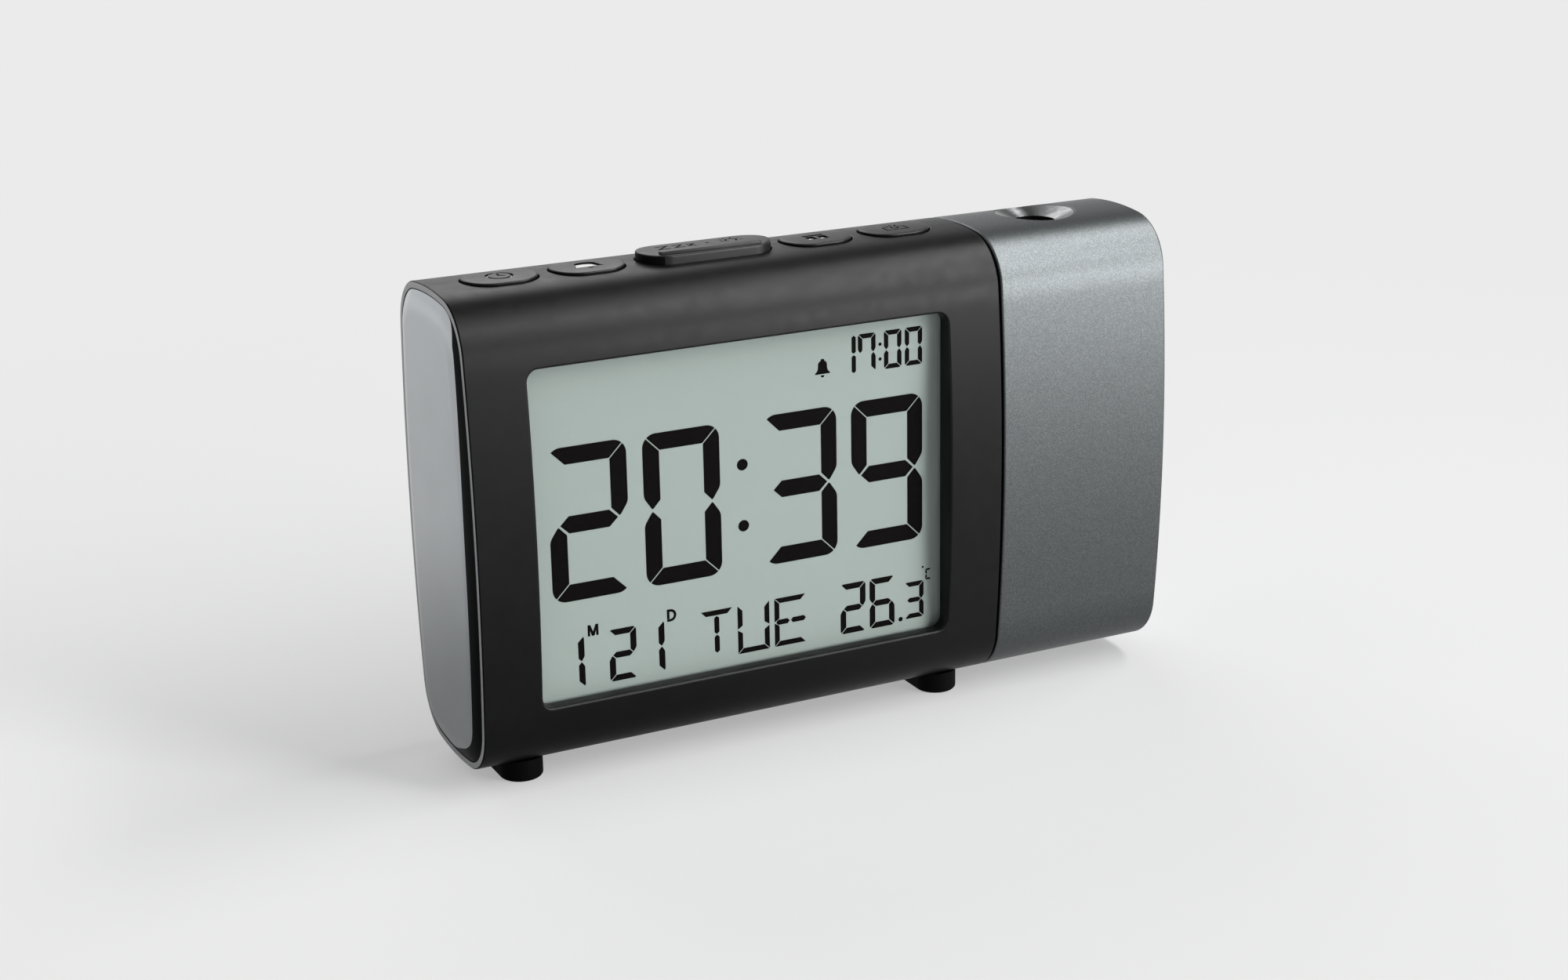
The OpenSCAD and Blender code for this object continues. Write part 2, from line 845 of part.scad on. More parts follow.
module battery_springs() {
    color(steel) placed() {
        translate([cavity_from + contact_t, cell_y, cell_z]) coil_spring();
        translate([cavity_to - contact_t, cell_y, -cell_z]) mirror([1, 0, 0]) coil_spring();
    }
}

module battery_door() {
    color(case_black) placed() difference() {
        union() {
            intersection() {
                front_plate(cavity_mid, 0, door_l, door_h, 0, body_d, door_r - door_gap);
                difference() {
                    bar(0, case_l);
                    bar(-past, case_l + past, door_t);
                }
            }
            for (n = [-1, 1]) block(
                [cavity_mid - cavity_l / 2 + cavity_r, box_back_y, n * door_rib_z - door_rib_t / 2],
                [cavity_mid + cavity_l / 2 - cavity_r, body_d / 2 - door_t, n * door_rib_z + door_rib_t / 2]
            );
        }
        front_plate(
            cavity_mid, cavity_half_h - groove_drop, groove[0], groove[1],
            body_d / 2 - groove[2], body_d, groove_corner_r
        );
    }
}

module dc_inlet() {
    color(moulding) placed() translate([inlet_x, 0, inlet_z]) {
        difference() {
            union() {
                block(
                    [-inlet_side / 2, inlet_back_y - inlet_l, -inlet_side / 2],
                    [inlet_side / 2, inlet_back_y, inlet_side / 2]
                );
                rod_y(inlet_back_y, body_d / 2 - inlet_nose_back, inlet_nose_r);
            }
            rod_y(inlet_back_y - inlet_hole_l, body_d, inlet_hole_r);
        }
        rod_y(inlet_back_y - inlet_hole_l - 2 * loose, body_d / 2 - inlet_pin_back, inlet_pin_r);
    }
}

module buzzer() {
    color(part_black) placed() translate([buzzer_x, 0, buzzer_z]) difference() {
        rod_y(buzzer_y, buzzer_y + buzzer_t - loose, buzzer_r);
        rod_y(buzzer_y + buzzer_t - buzzer_hole_l, body_d, buzzer_hole_r);
    }
}

// ---- swivel ----

module bearing_plate() {
    color(moulding) placed() difference() {
        case_hollow(plate_from, plate_to, wall + slack);
        rod_x(0, total_l, bush_r);
        for (m = [-1, 1], n = [-1, 1]) translate([0, m * plate_boss_y, n * plate_boss_z]) {
            rod_x(0, total_l, screw_clear_r);
            rod_x(plate_to - screw_head_h, total_l, screw_head_r + loose);
        }
        stop_groove();
    }
}

// Arc that the stop pin runs in, open towards the head
module stop_groove() {
    reach = swivel_turn + stop_slack;
    translate([plate_to - stop_groove_depth, 0, 0]) rotate([0, 90, 0]) {
        rotate([0, 0, 180 - reach]) rotate_extrude(angle = 2 * reach)
            translate([stop_circle_r - stop_groove_half, 0]) square([2 * stop_groove_half, 2 * past]);
        for (a = [180 - reach, 180 + reach]) rotate([0, 0, a]) translate([stop_circle_r, 0, 0])
            cylinder(h = 2 * past, r = stop_groove_half);
    }
}

module plate_screws() {
    color(steel) placed() for (m = [-1, 1], n = [-1, 1])
        translate([0, m * plate_boss_y, n * plate_boss_z]) {
            rod_x(plate_to - screw_head_h, plate_to - slack, screw_head_r);
            rod_x(plate_from - plate_screw_l, plate_to - screw_head_h, screw_r);
        }
}

module swivel_bush() {
    color(nylon_white) placed() difference() {
        union() {
            rod_x(plate_from, plate_to, bush_r);
            rod_x(plate_from - bush_flange_t, plate_from, bush_flange_r);
        }
        rod_x(0, total_l, spigot_r + bush_play);
    }
}

// Spring washer with three waves, which gives the head its friction
module wave_washer() {
    steps = 72;
    waves = 3;
    sheet = 0.25;
    inner = spigot_r + 3 * loose;
    outer = clip_r + 2 * loose;
    free = 0.03; // play left at the crests
    swing = (washer_t - sheet) / 2 - free;
    mid = plate_from - bush_flange_t - washer_t / 2;
    corners = [[inner, -sheet / 2], [outer, -sheet / 2], [outer, sheet / 2], [inner, sheet / 2]];
    color(steel) placed() polyhedron(
        points = [for (i = [0:steps - 1], c = corners)
            let(turn = 360 * i / steps)
            [mid + swing * sin(waves * turn) + c[1], c[0] * cos(turn), c[0] * sin(turn)]
        ],
        faces = [for (i = [0:steps - 1], k = [0:3])
            let(j = (i + 1) % steps, n = (k + 1) % 4)
            [4 * i + k, 4 * i + n, 4 * j + n, 4 * j + k]
        ],
        convexity = 6
    );
}

module retaining_clip() {
    color(steel) placed() difference() {
        rod_x(groove_from + slack, groove_to, clip_r);
        rod_x(0, total_l, groove_r);
        block([0, -clip_mouth, 0], [total_l, clip_mouth, body_h]);
    }
}

module head_bulkhead() {
    color(moulding) placed() difference() {
        union() {
            bar(bulkhead_from, bulkhead_to, head_wall + slack);
            rod_x(spigot_from, bulkhead_from, spigot_r);
            translate([0, 0, stop_circle_r]) rod_x(stop_pin_end, bulkhead_from, stop_pin_r);
        }
        rod_x(0, total_l, spigot_bore_r);
        difference() {
            rod_x(groove_from, groove_to, spigot_r + past);
            rod_x(groove_from, groove_to, groove_r);
        }
        for (z = flange_screw_z()) translate([0, optic_y, z])
            rod_x(bulkhead_from + bulkhead_skin, total_l, screw_r);
    }
}

function flange_screw_z() = [flange_foot_z + flange_screw_in, bracket_top_z - flange_screw_in];

// ---- projector head ----

module head_shell() {
    color(head_grey) placed() difference() {
        bar(head_from, total_l);
        bar(head_from - past, total_l + past, head_wall);
        bar(total_l - panel_seat, total_l + past, rim_wall);
        translate([optic_x, optic_y, crown_cut_z]) cylinder(h = body_h, r = ring_r + 2 * hair);
    }
}

module head_end_panel() {
    color(panel_grey) placed() translate([total_l, 0, 0]) mirror([1, 0, 0]) domed_panel(head_wall);
}

module lens_ring() {
    color(polished) placed() translate([optic_x, optic_y, 0]) difference() {
        union() {
            translate([0, 0, ring_foot_z]) cylinder(h = cone_top_z - ring_foot_z, r = ring_r);
            translate([0, 0, ring_foot_z]) cylinder(h = ring_flange_t, r = ring_flange_r);
        }
        translate([0, 0, ring_foot_z - past]) cylinder(h = body_h, r = aperture_r);
        translate([0, 0, cone_foot_z])
            cylinder(h = cone_top_z - cone_foot_z + hair, r1 = aperture_r, r2 = ring_r - cone_rim);
    }
}

module lens_barrel() {
    color(part_black) placed() translate([optic_x, optic_y, barrel_foot_z]) difference() {
        cylinder(h = ring_foot_z - barrel_foot_z, r = barrel_r);
        translate([0, 0, -past]) cylinder(h = body_h, r = barrel_bore_r);
    }
}

module round_lens(z) {
    color(clear) placed() translate([optic_x, optic_y, z]) intersection() {
        cylinder(h = lens_mid_t, r = lens_edge_r, center = true);
        translate([0, 0, lens_mid_t / 2 - lens_ball_r]) sphere(lens_ball_r);
        translate([0, 0, lens_ball_r - lens_mid_t / 2]) sphere(lens_ball_r);
    }
}

module front_lens() {
    round_lens(front_lens_z);
}

module rear_lens() {
    round_lens(rear_lens_z);
}

module image_lcd() {
    side = bracket_bore - 2 * loose;
    color(image_grey) placed() translate([optic_x - side / 2, optic_y - side / 2, image_z])
        cube([side, side, image_t]);
}

module condenser_lens() {
    color(clear) placed() translate([optic_x, optic_y, condenser_z]) intersection() {
        cylinder(h = condenser_t, r = condenser_r);
        translate([0, 0, condenser_t - condenser_ball_r]) sphere(condenser_ball_r);
    }
}

module projector_led() {
    color(lead_red) placed() translate([optic_x, optic_y, led_foot_z]) {
        cylinder(h = led_rim_t, r = led_rim_r);
        cylinder(h = led_l, r = led_r);
        translate([0, 0, led_l]) sphere(led_r);
    }
}

module led_board() {
    color(board_green) placed() difference() {
        block(
            [socket_from, optic_y - bracket_side / 2, led_board_z],
            [optic_x + post_x + post_r, optic_y + bracket_side / 2, led_foot_z]
        );
        for (m = [-1, 1]) translate([optic_x + post_x, optic_y + m * post_y, led_board_z - past])
            cylinder(h = 2 * led_board_t + past, r = screw_clear_r);
    }
}

module lead_socket() {
    color(connector_cream) placed() block(
        [socket_from, -socket_w / 2, led_foot_z],
        [socket_from + socket_l, socket_w / 2, socket_top_z]
    );
}

// Square tube around the light path, with a collar for the barrel and a flange to the bulkhead
module optics_bracket() {
    half = bracket_side / 2;
    bore = bracket_bore / 2;
    color(moulding) placed() difference() {
        union() {
            block(
                [optic_x - half, optic_y - half, led_foot_z],
                [optic_x + half, optic_y + half, bracket_top_z]
            );
            block(
                [bulkhead_to, optic_y - half, flange_foot_z],
                [bulkhead_to + flange_t, optic_y + half, bracket_top_z]
            );
            for (m = [-1, 1]) translate([0, optic_y + m * (half - rib_t / 2), 0]) block(
                [bulkhead_to, -rib_t / 2, flange_foot_z + rib_in],
                [optic_x - half + past, rib_t / 2, bracket_top_z - rib_in]
            );
            for (m = [-1, 1]) translate([optic_x + post_x, optic_y + m * post_y, led_foot_z])
                cylinder(h = post_l, r = post_r);
        }
        block([optic_x - bore, optic_y - bore, -body_h], [optic_x + bore, optic_y + bore, collar_foot_z]);
        translate([optic_x, optic_y, 0]) cylinder(h = body_h, r = barrel_r);
        for (z = flange_screw_z()) translate([0, optic_y, z]) rod_x(0, optic_x - half - past, screw_clear_r);
        for (m = [-1, 1]) translate([optic_x + post_x, optic_y + m * post_y, led_foot_z - past])
            cylinder(h = post_l, r = screw_r);
    }
}

module head_screws() {
    color(steel) placed() {
        for (z = flange_screw_z()) translate([0, optic_y, z]) {
            rod_x(bulkhead_to + flange_t, bulkhead_to + flange_t + screw_head_h, screw_head_r);
            rod_x(bulkhead_from + bulkhead_skin + 2 * loose, bulkhead_to + flange_t, screw_r);
        }
        for (m = [-1, 1]) translate([optic_x + post_x, optic_y + m * post_y, 0]) {
            translate([0, 0, led_board_z - screw_head_h]) cylinder(h = screw_head_h, r = screw_head_r);
            translate([0, 0, led_board_z]) cylinder(h = post_l, r = screw_r);
        }
    }
}

// ---- keys ----

// Slot-shaped cap with a crowned top and a lip that keeps it in the case
module key_cap(index, l, w, proud) {
    color(key_black) placed() {
        intersection() {
            stadium(key_x(index), l, w, key_under_z, body_h);
            translate([0, 0, -crown_off]) rod_x(0, case_l, crown_r + proud, $fn = smooth_fn);
        }
        stadium(
            key_x(index), l + 2 * key_flange, w + 2 * key_flange,
            key_under_z, key_under_z + key_flange_t
        );
    }
}

module plunger(index) {
    color(plunger_red) placed() translate([key_x(index), 0, plunger_z])
        cylinder(h = key_under_z - plunger_z, r = plunger_r);
}

module time_key() {
    key_cap(0, key_l, key_w, key_proud);
}

module alarm_key() {
    key_cap(1, key_l, key_w, key_proud);
}

// The long key has a raised bar along its front for the finger to find
module snooze_key() {
    top = body_h / 2 + snooze_proud;
    key_cap(2, snooze_l, snooze_w, snooze_proud);
    color(key_black) placed()
        translate([key_x(2) - snooze_bar[0] / 2, snooze_bar_y, top + snooze_bar_rise - snooze_bar[2]])
            cube(snooze_bar);
}

module calendar_key() {
    key_cap(3, key_l, key_w, key_proud);
}

module projector_key() {
    key_cap(4, key_l, key_w, key_proud);
}

module time_plunger() {
    plunger(0);
}

module alarm_plunger() {
    plunger(1);
}

module snooze_plunger() {
    plunger(2);
}

module calendar_plunger() {
    plunger(3);
}

module projector_plunger() {
    plunger(4);
}

case_sleeve();
end_panel();
window_lens();
lcd_panel();
light_guide();
backlight_leds();
zebra_strip();
display_frame();
main_board();
controller_blob();
quartz_crystal();
capacitors();
temperature_sensor();
lead_connector();
projector_lead();
board_screws();
key_board();
key_switches();
battery_box();
upper_cell();
lower_cell();
battery_springs();
battery_contacts();
battery_door();
buzzer();
dc_inlet();
left_foot();
right_foot();
bearing_plate();
plate_screws();
swivel_bush();
wave_washer();
time_key();
alarm_key();
snooze_key();
calendar_key();
projector_key();
time_plunger();
alarm_plunger();
snooze_plunger();
calendar_plunger();
projector_plunger();
head_shell();
head_end_panel();
head_bulkhead();
retaining_clip();
lens_ring();
lens_barrel();
front_lens();
rear_lens();
image_lcd();
condenser_lens();
projector_led();
led_board();
lead_socket();
optics_bracket();
head_screws();
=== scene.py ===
"""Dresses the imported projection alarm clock: shells, keys, display marks, finishes and the studio."""

import sys
import logging
import math
from dataclasses import dataclass, field
from enum import Enum
from typing import Callable, ClassVar, Sequence

import bmesh
import bpy
from mathutils import Matrix, Vector


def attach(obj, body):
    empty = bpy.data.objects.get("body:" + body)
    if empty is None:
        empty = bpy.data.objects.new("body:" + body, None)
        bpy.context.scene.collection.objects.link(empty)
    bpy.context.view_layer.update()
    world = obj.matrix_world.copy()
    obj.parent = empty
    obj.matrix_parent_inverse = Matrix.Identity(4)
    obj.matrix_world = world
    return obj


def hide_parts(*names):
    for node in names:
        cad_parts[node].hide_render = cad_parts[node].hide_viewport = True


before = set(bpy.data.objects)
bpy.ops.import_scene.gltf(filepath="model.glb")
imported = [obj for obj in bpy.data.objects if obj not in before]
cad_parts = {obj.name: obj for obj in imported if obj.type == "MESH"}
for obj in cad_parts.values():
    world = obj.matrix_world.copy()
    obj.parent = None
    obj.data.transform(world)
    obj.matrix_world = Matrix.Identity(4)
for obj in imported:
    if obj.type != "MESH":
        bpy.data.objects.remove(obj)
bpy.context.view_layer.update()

LOG = logging.getLogger("clock")

Point2 = tuple[float, float]
Point3 = tuple[float, float, float]
Colour = tuple[float, float, float]

MM = 0.001
HALF_LENGTH = 64.75  # mm from the case's left end to the middle of the clock
MID_HEIGHT = 42.6  # mm from the table to the middle of the section
CASE_LENGTH = 95.8  # mm, the black sleeve
SEAM_GAP = 0.45  # mm between the sleeve and the head
HEAD_LENGTH = 33.25  # mm
HEAD_FROM = CASE_LENGTH + SEAM_GAP
FULL_LENGTH = HEAD_FROM + HEAD_LENGTH
CASE_MIDDLE = CASE_LENGTH / 2
HEAD_MIDDLE = HEAD_FROM + HEAD_LENGTH / 2
OPTIC_Y = 1.2  # mm from the middle plane back to the optical axis
RIM_WALL = 1.25  # mm of wall round an end panel
PANEL_SEAT = 3.2  # mm from an end face to the seat of its panel
CUT_FOOT_Z = 30.0  # mm above the middle, where the cutters of holes in the top end
CUT_FOOT_Y = 5.0  # mm from the middle plane, where the cutters of holes in the back end
NOISE_LOW, NOISE_HIGH = 0.3, 0.7  # between which most of a noise texture lies


class Body(Enum):
    """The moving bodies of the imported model."""

    CASE = "case"
    HEAD = "projector_head"
    DOOR = "battery_door"
    TIME_KEY = "time_key"
    ALARM_KEY = "alarm_key"
    SNOOZE_KEY = "snooze_key"
    CALENDAR_KEY = "calendar_key"
    PROJECTOR_KEY = "projector_key"


def arc(centre: Point2, radius: float, start: float, end: float, steps: int) -> list[Point2]:
    """Samples an arc.

    Args:
        centre: Middle of the arc.
        radius: Its radius.
        start: First angle in degrees.
        end: Last angle in degrees.
        steps: Number of chords.

    Returns:
        steps + 1 points.
    """
    points = []
    for i in range(steps + 1):
        turn = math.radians(start + (end - start) * i / steps)
        points.append((centre[0] + radius * math.cos(turn), centre[1] + radius * math.sin(turn)))
    return points


@dataclass(frozen=True)
class RoundedOutline:
    """A rectangle with round corners; a slot when the radius is half its height.

    Attributes:
        width: Size along the first axis.
        height: Size along the second axis.
        radius: Corner radius.
        steps: Chords in each corner.
        longest: Longest straight piece along the second axis, where the clock's faces are bowed.
    """

    width: float
    height: float
    radius: float
    steps: int = 8
    longest: float = 1.6

    def points(self, middle: Point2 = (0.0, 0.0), grow: float = 0.0) -> list[Point2]:
        """Gives the outline, offset outwards.

        Args:
            middle: Where its middle lies.
            grow: Outward offset; negative shrinks it.

        Returns:
            Points in anticlockwise order: the right half going up, then the left half as its mirror
            image going down, always the same number.
        """
        across = self.width / 2 - self.radius
        up = self.height / 2 - self.radius
        reach = self.radius + grow
        right = arc((across, -up), reach, -90, 0, self.steps)
        parts = math.ceil(2 * up / self.longest)
        right += [(across + reach, -up + 2 * up * k / parts) for k in range(1, parts)]
        right += arc((across, up), reach, 0, 90, self.steps)[0 if parts else 1 :]
        half = [(x, y + middle[1]) for x, y in right]
        return [(middle[0] + x, y) for x, y in half] + [(middle[0] - x, y) for x, y in reversed(half)]


@dataclass(frozen=True)
class PillowSection:
    """Section of the clock: bowed front and back, crowned top and bottom, round corners.

    Attributes:
        height: Size from top to bottom.
        depth: Size from front to back.
        side_r: Bow radius of front and back.
        crown_r: Radius of the crowns.
        corner_r: Radius of the four corners.
        ease: Way over which the shading runs into a corner's bend, to each side.
        side_steps: Steps of the front's and back's arcs.
        crown_steps: Steps of the crowns' arcs.
        corner_steps: Steps of a corner's arc.
    """

    height: float = 80.0
    depth: float = 33.3
    side_r: float = 318.0
    crown_r: float = 56.0
    corner_r: float = 9.1
    ease: float = 4.0
    side_steps: int = 48
    crown_steps: int = 16
    corner_steps: int = 20

    @property
    def side_off(self) -> float:
        """Distance of a side arc's centre from the middle."""
        return self.side_r - self.depth / 2

    @property
    def crown_off(self) -> float:
        """Distance of a crown arc's centre from the middle."""
        return self.crown_r - self.height / 2

    @property
    def corner(self) -> Point2:
        """Centre of the rear upper corner arc, as (y, z).

        Returns:
            Its distance behind the middle plane and above the middle.
        """
        gap = math.hypot(self.side_off, self.crown_off)
        side_reach = self.side_r - self.corner_r
        crown_reach = self.crown_r - self.corner_r
        along = (side_reach**2 - crown_reach**2 + gap**2) / (2 * gap)
        across = math.sqrt(side_reach**2 - along**2)
        y = (self.side_off * along + self.crown_off * across) / gap - self.side_off
        z = (self.side_off * across - self.crown_off * along) / gap
        return y, z

    @property
    def ends(self) -> Point2:
        """Angles at which the side and the crown meet the corner, in degrees."""
        y, z = self.corner
        return math.degrees(math.atan2(z, y + self.side_off)), math.degrees(math.atan2(z + self.crown_off, y))

    def contour(self, inset: float) -> list[Point2]:
        """Gives the section's outline, offset inwards.

        Args:
            inset: Distance inside the outer surface.

        Returns:
            Points (y, z), anticlockwise seen from the right end, always the same number.
        """
        y, z = self.corner
        side, crown = self.ends
        side_r, crown_r, corner_r = self.side_r - inset, self.crown_r - inset, self.corner_r - inset
        runs = (
            arc((-self.side_off, 0), side_r, -side, side, self.side_steps),
            arc((y, z), corner_r, side, crown, self.corner_steps),
            arc((0, -self.crown_off), crown_r, crown, 180 - crown, self.crown_steps),
            arc((-y, z), corner_r, 180 - crown, 180 - side, self.corner_steps),
            arc((self.side_off, 0), side_r, 180 - side, 180 + side, self.side_steps),
            arc((-y, -z), corner_r, 180 + side, 180 + crown, self.corner_steps),
            arc((0, self.crown_off), crown_r, 180 + crown, 360 - crown, self.crown_steps),
            arc((y, -z), corner_r, 360 - crown, 360 - side, self.corner_steps),
        )
        return [point for run in runs for point in run[:-1]]

    def outward(self, y: float, z: float) -> Point2:
        """Gives the outward direction of the section at a point near its outline.

        The corners' bend runs in and out over a short way, so that gloss shows no hard line there.

        Args:
            y: Distance behind the middle plane.
            z: Height above the middle.

        Returns:
            The direction's two parts, back and up.
        """
        corner_y, corner_z = self.corner
        side, crown = (math.radians(angle) for angle in self.ends)
        turn = math.atan2(abs(z) - corner_z, abs(y) - corner_y)
        to_side = to_crown = self.ease
        if side <= turn <= crown:
            to_side, to_crown = (turn - side) * self.corner_r, (crown - turn) * self.corner_r
        elif turn < math.pi / 4:
            turn = math.atan2(abs(z), abs(y) + self.side_off)
            to_side = (side - turn) * self.side_r
        else:
            turn = math.atan2(abs(z) + self.crown_off, abs(y))
            to_crown = (turn - crown) * self.crown_r
        turn += self.eased(to_side, self.side_r) - self.eased(to_crown, self.crown_r)
        return math.copysign(math.cos(turn), y), math.copysign(math.sin(turn), z)

    def eased(self, distance: float, radius: float) -> float:
        """Gives the extra turn, in radians, at a distance from the end of a corner's bend."""
        left = max(0.0, self.ease - distance)
        return (1 / self.corner_r - 1 / radius) * left * left / (4 * self.ease)

    def side_y(self, z: float, inset: float = 0.0) -> float:
        """Distance of the front or back surface from the middle plane at a height."""
        return math.sqrt((self.side_r - inset) ** 2 - z * z) - self.side_off

    def crown_z(self, y: float, rise: float = 0.0) -> float:
        """Height of the top surface above the middle at a depth."""
        return math.sqrt((self.crown_r + rise) ** 2 - y * y) - self.crown_off


SECTION = PillowSection()


class MeshDraft:
    """Collects points and faces of one piece in section millimetres: along, depth, height."""

    def __init__(self) -> None:
        """Starts an empty draft."""
        self.points: list[Point3] = []
        self.faces: list[list[int]] = []
        self.zones: list[int] = []

    def ring(self, points: Sequence[Point3]) -> list[int]:
        """Adds a ring of points.

        Args:
            points: The points in order.

        Returns:
            Their numbers.
        """
        first = len(self.points)
        self.points += points
        return list(range(first, len(self.points)))

    def face(self, corners: list[int], zone: int = 0) -> None:
        """Adds one face with the number of its finish."""
        self.faces.append(corners)
        self.zones.append(zone)

    def loft(
        self,
        rings: Sequence[Sequence[Point3]],
        looped: bool = False,
        zones: Sequence[int] | None = None,
        striped: bool = True,
    ) -> None:
        """Skins a row of rings that have the same number of points.

        Args:
            rings: The rings in order.
            looped: True joins the last ring to the first; else both ends get a lid.
            zones: Finish number of each band between rings.
            striped: True for rings whose second half mirrors the first: their lids are strips, which
                follow a bow. False gives a flat lid.
        """
        rows = [self.ring(list(r)) for r in rings]
        count = len(rows[0])
        bands = len(rows) if looped else len(rows) - 1
        for i in range(bands):
            low, high = rows[i], rows[(i + 1) % len(rows)]
            zone = zones[i] if zones else 0
            for k in range(count):
                n = (k + 1) % count
                self.face([low[k], low[n], high[n], high[k]], zone)
        if looped:
            return
        for row, zone in ((rows[0], zones[0] if zones else 0), (rows[-1], zones[-1] if zones else 0)):
            if striped:
                for k in range(count // 2 - 1):
                    self.face([row[k], row[k + 1], row[-k - 2], row[-k - 1]], zone)
            else:
                self.face(row, zone)

    def prism(self, outline: Sequence[Point2], place: Callable[[float, float, bool], Point3]) -> None:
        """Adds a flat solid.

        Args:
            outline: Its outline in the plane.
            place: Gives the point of an outline point, with True for the far side.
        """
        near = [place(u, v, False) for u, v in outline]
        self.loft([near, [place(u, v, True) for u, v in outline]], striped=False)

    def piece(self, name: str, smooth: float = 35.0) -> bpy.types.Object:
        """Makes the object, in metres in the frame.

        Args:
            name: Name of the piece.
            smooth: Edges sharper than this many degrees stay sharp.

        Returns:
            The new object, linked to the scene.
        """
        mesh = bpy.data.meshes.new(name)
        mesh.from_pydata([to_frame(p) for p in self.points], [], self.faces)
        mesh.polygons.foreach_set("material_index", self.zones)
        shape = bmesh.new()
        shape.from_mesh(mesh)
        bmesh.ops.recalc_face_normals(shape, faces=shape.faces)
        shape.to_mesh(mesh)
        shape.free()
        made = bpy.data.objects.new(name, mesh)
        bpy.context.scene.collection.objects.link(made)
        soften(made, smooth)
        return made


def lofted(rings: Sequence[Sequence[Point3]], looped: bool = False) -> MeshDraft:
    """Makes the draft of one skinned row of rings.

    Args:
        rings: The rings in order.
        looped: True joins the last ring to the first.

    Returns:
        The closed draft.
    """
    draft = MeshDraft()
    draft.loft(rings, looped)
    return draft


def to_frame(point: Point3) -> Vector:
    """Turns section millimetres into metres in the frame."""
    return Vector(((point[0] - HALF_LENGTH) * MM, point[1] * MM, (point[2] + MID_HEIGHT) * MM))


def soften(piece: bpy.types.Object, angle: float) -> None:
    """Shades a piece smoothly and keeps edges above the angle, in degrees, sharp."""
    piece.data.shade_smooth()
    piece.data.set_sharp_from_angle(angle=math.radians(angle))


def carve(piece: bpy.types.Object, cutters: Sequence[MeshDraft], smooth: float = 35.0) -> None:
    """Cuts shapes out of a piece.

    Args:
        piece: The piece that is cut; its mesh becomes the result.
        cutters: Closed drafts, one for each cut.
        smooth: Edges sharper than this many degrees stay sharp.
    """
    tools = [draft.piece(f"cutter_{i}") for i, draft in enumerate(cutters)]
    for tool in tools:
        cut = piece.modifiers.new(tool.name, "BOOLEAN")
        cut.operation = "DIFFERENCE"
        cut.solver = "EXACT"
        cut.object = tool
    depsgraph = bpy.context.evaluated_depsgraph_get()
    result = bpy.data.meshes.new_from_object(piece.evaluated_get(depsgraph))
    piece.modifiers.clear()
    piece.data = result
    for tool in tools:
        bpy.data.objects.remove(tool)
    soften(piece, smooth)


def give_zone(piece: bpy.types.Object, zone: int, rule: Callable[[Vector, Vector], bool]) -> None:
    """Gives a finish number to the faces that a rule picks.

    Args:
        piece: The piece.
        zone: The finish number.
        rule: Says yes to a face by its middle, in section millimetres, and its outward direction.
    """
    for polygon in piece.data.polygons:
        at = polygon.center / MM
        if rule(Vector((at.x + HALF_LENGTH, at.y, at.z - MID_HEIGHT)), polygon.normal):
            polygon.material_index = zone


def true_normals(
    piece: bpy.types.Object, rule: Callable[[Vector], Vector | None], limit: float = 12.0
) -> None:
    """Gives the corners on the outer surface its exact normals, so that gloss runs clean over it.

    Args:
        piece: A shaded piece.
        rule: The surface's normal at a point in section millimetres, or None elsewhere.
        limit: Largest angle, in degrees, between a face and the surface that it belongs to.
    """
    mesh = piece.data
    keep = math.cos(math.radians(limit))
    normals = [Vector(corner.vector) for corner in mesh.corner_normals]
    for polygon in mesh.polygons:
        flat = polygon.normal
        for corner in polygon.loop_indices:
            at = mesh.vertices[mesh.loops[corner].vertex_index].co / MM
            true = rule(Vector((at.x + HALF_LENGTH, at.y, at.z - MID_HEIGHT)))
            if true is not None and true.dot(flat) > keep:
                normals[corner] = true
    mesh.normals_split_custom_set(normals)


# ---- finishes ----


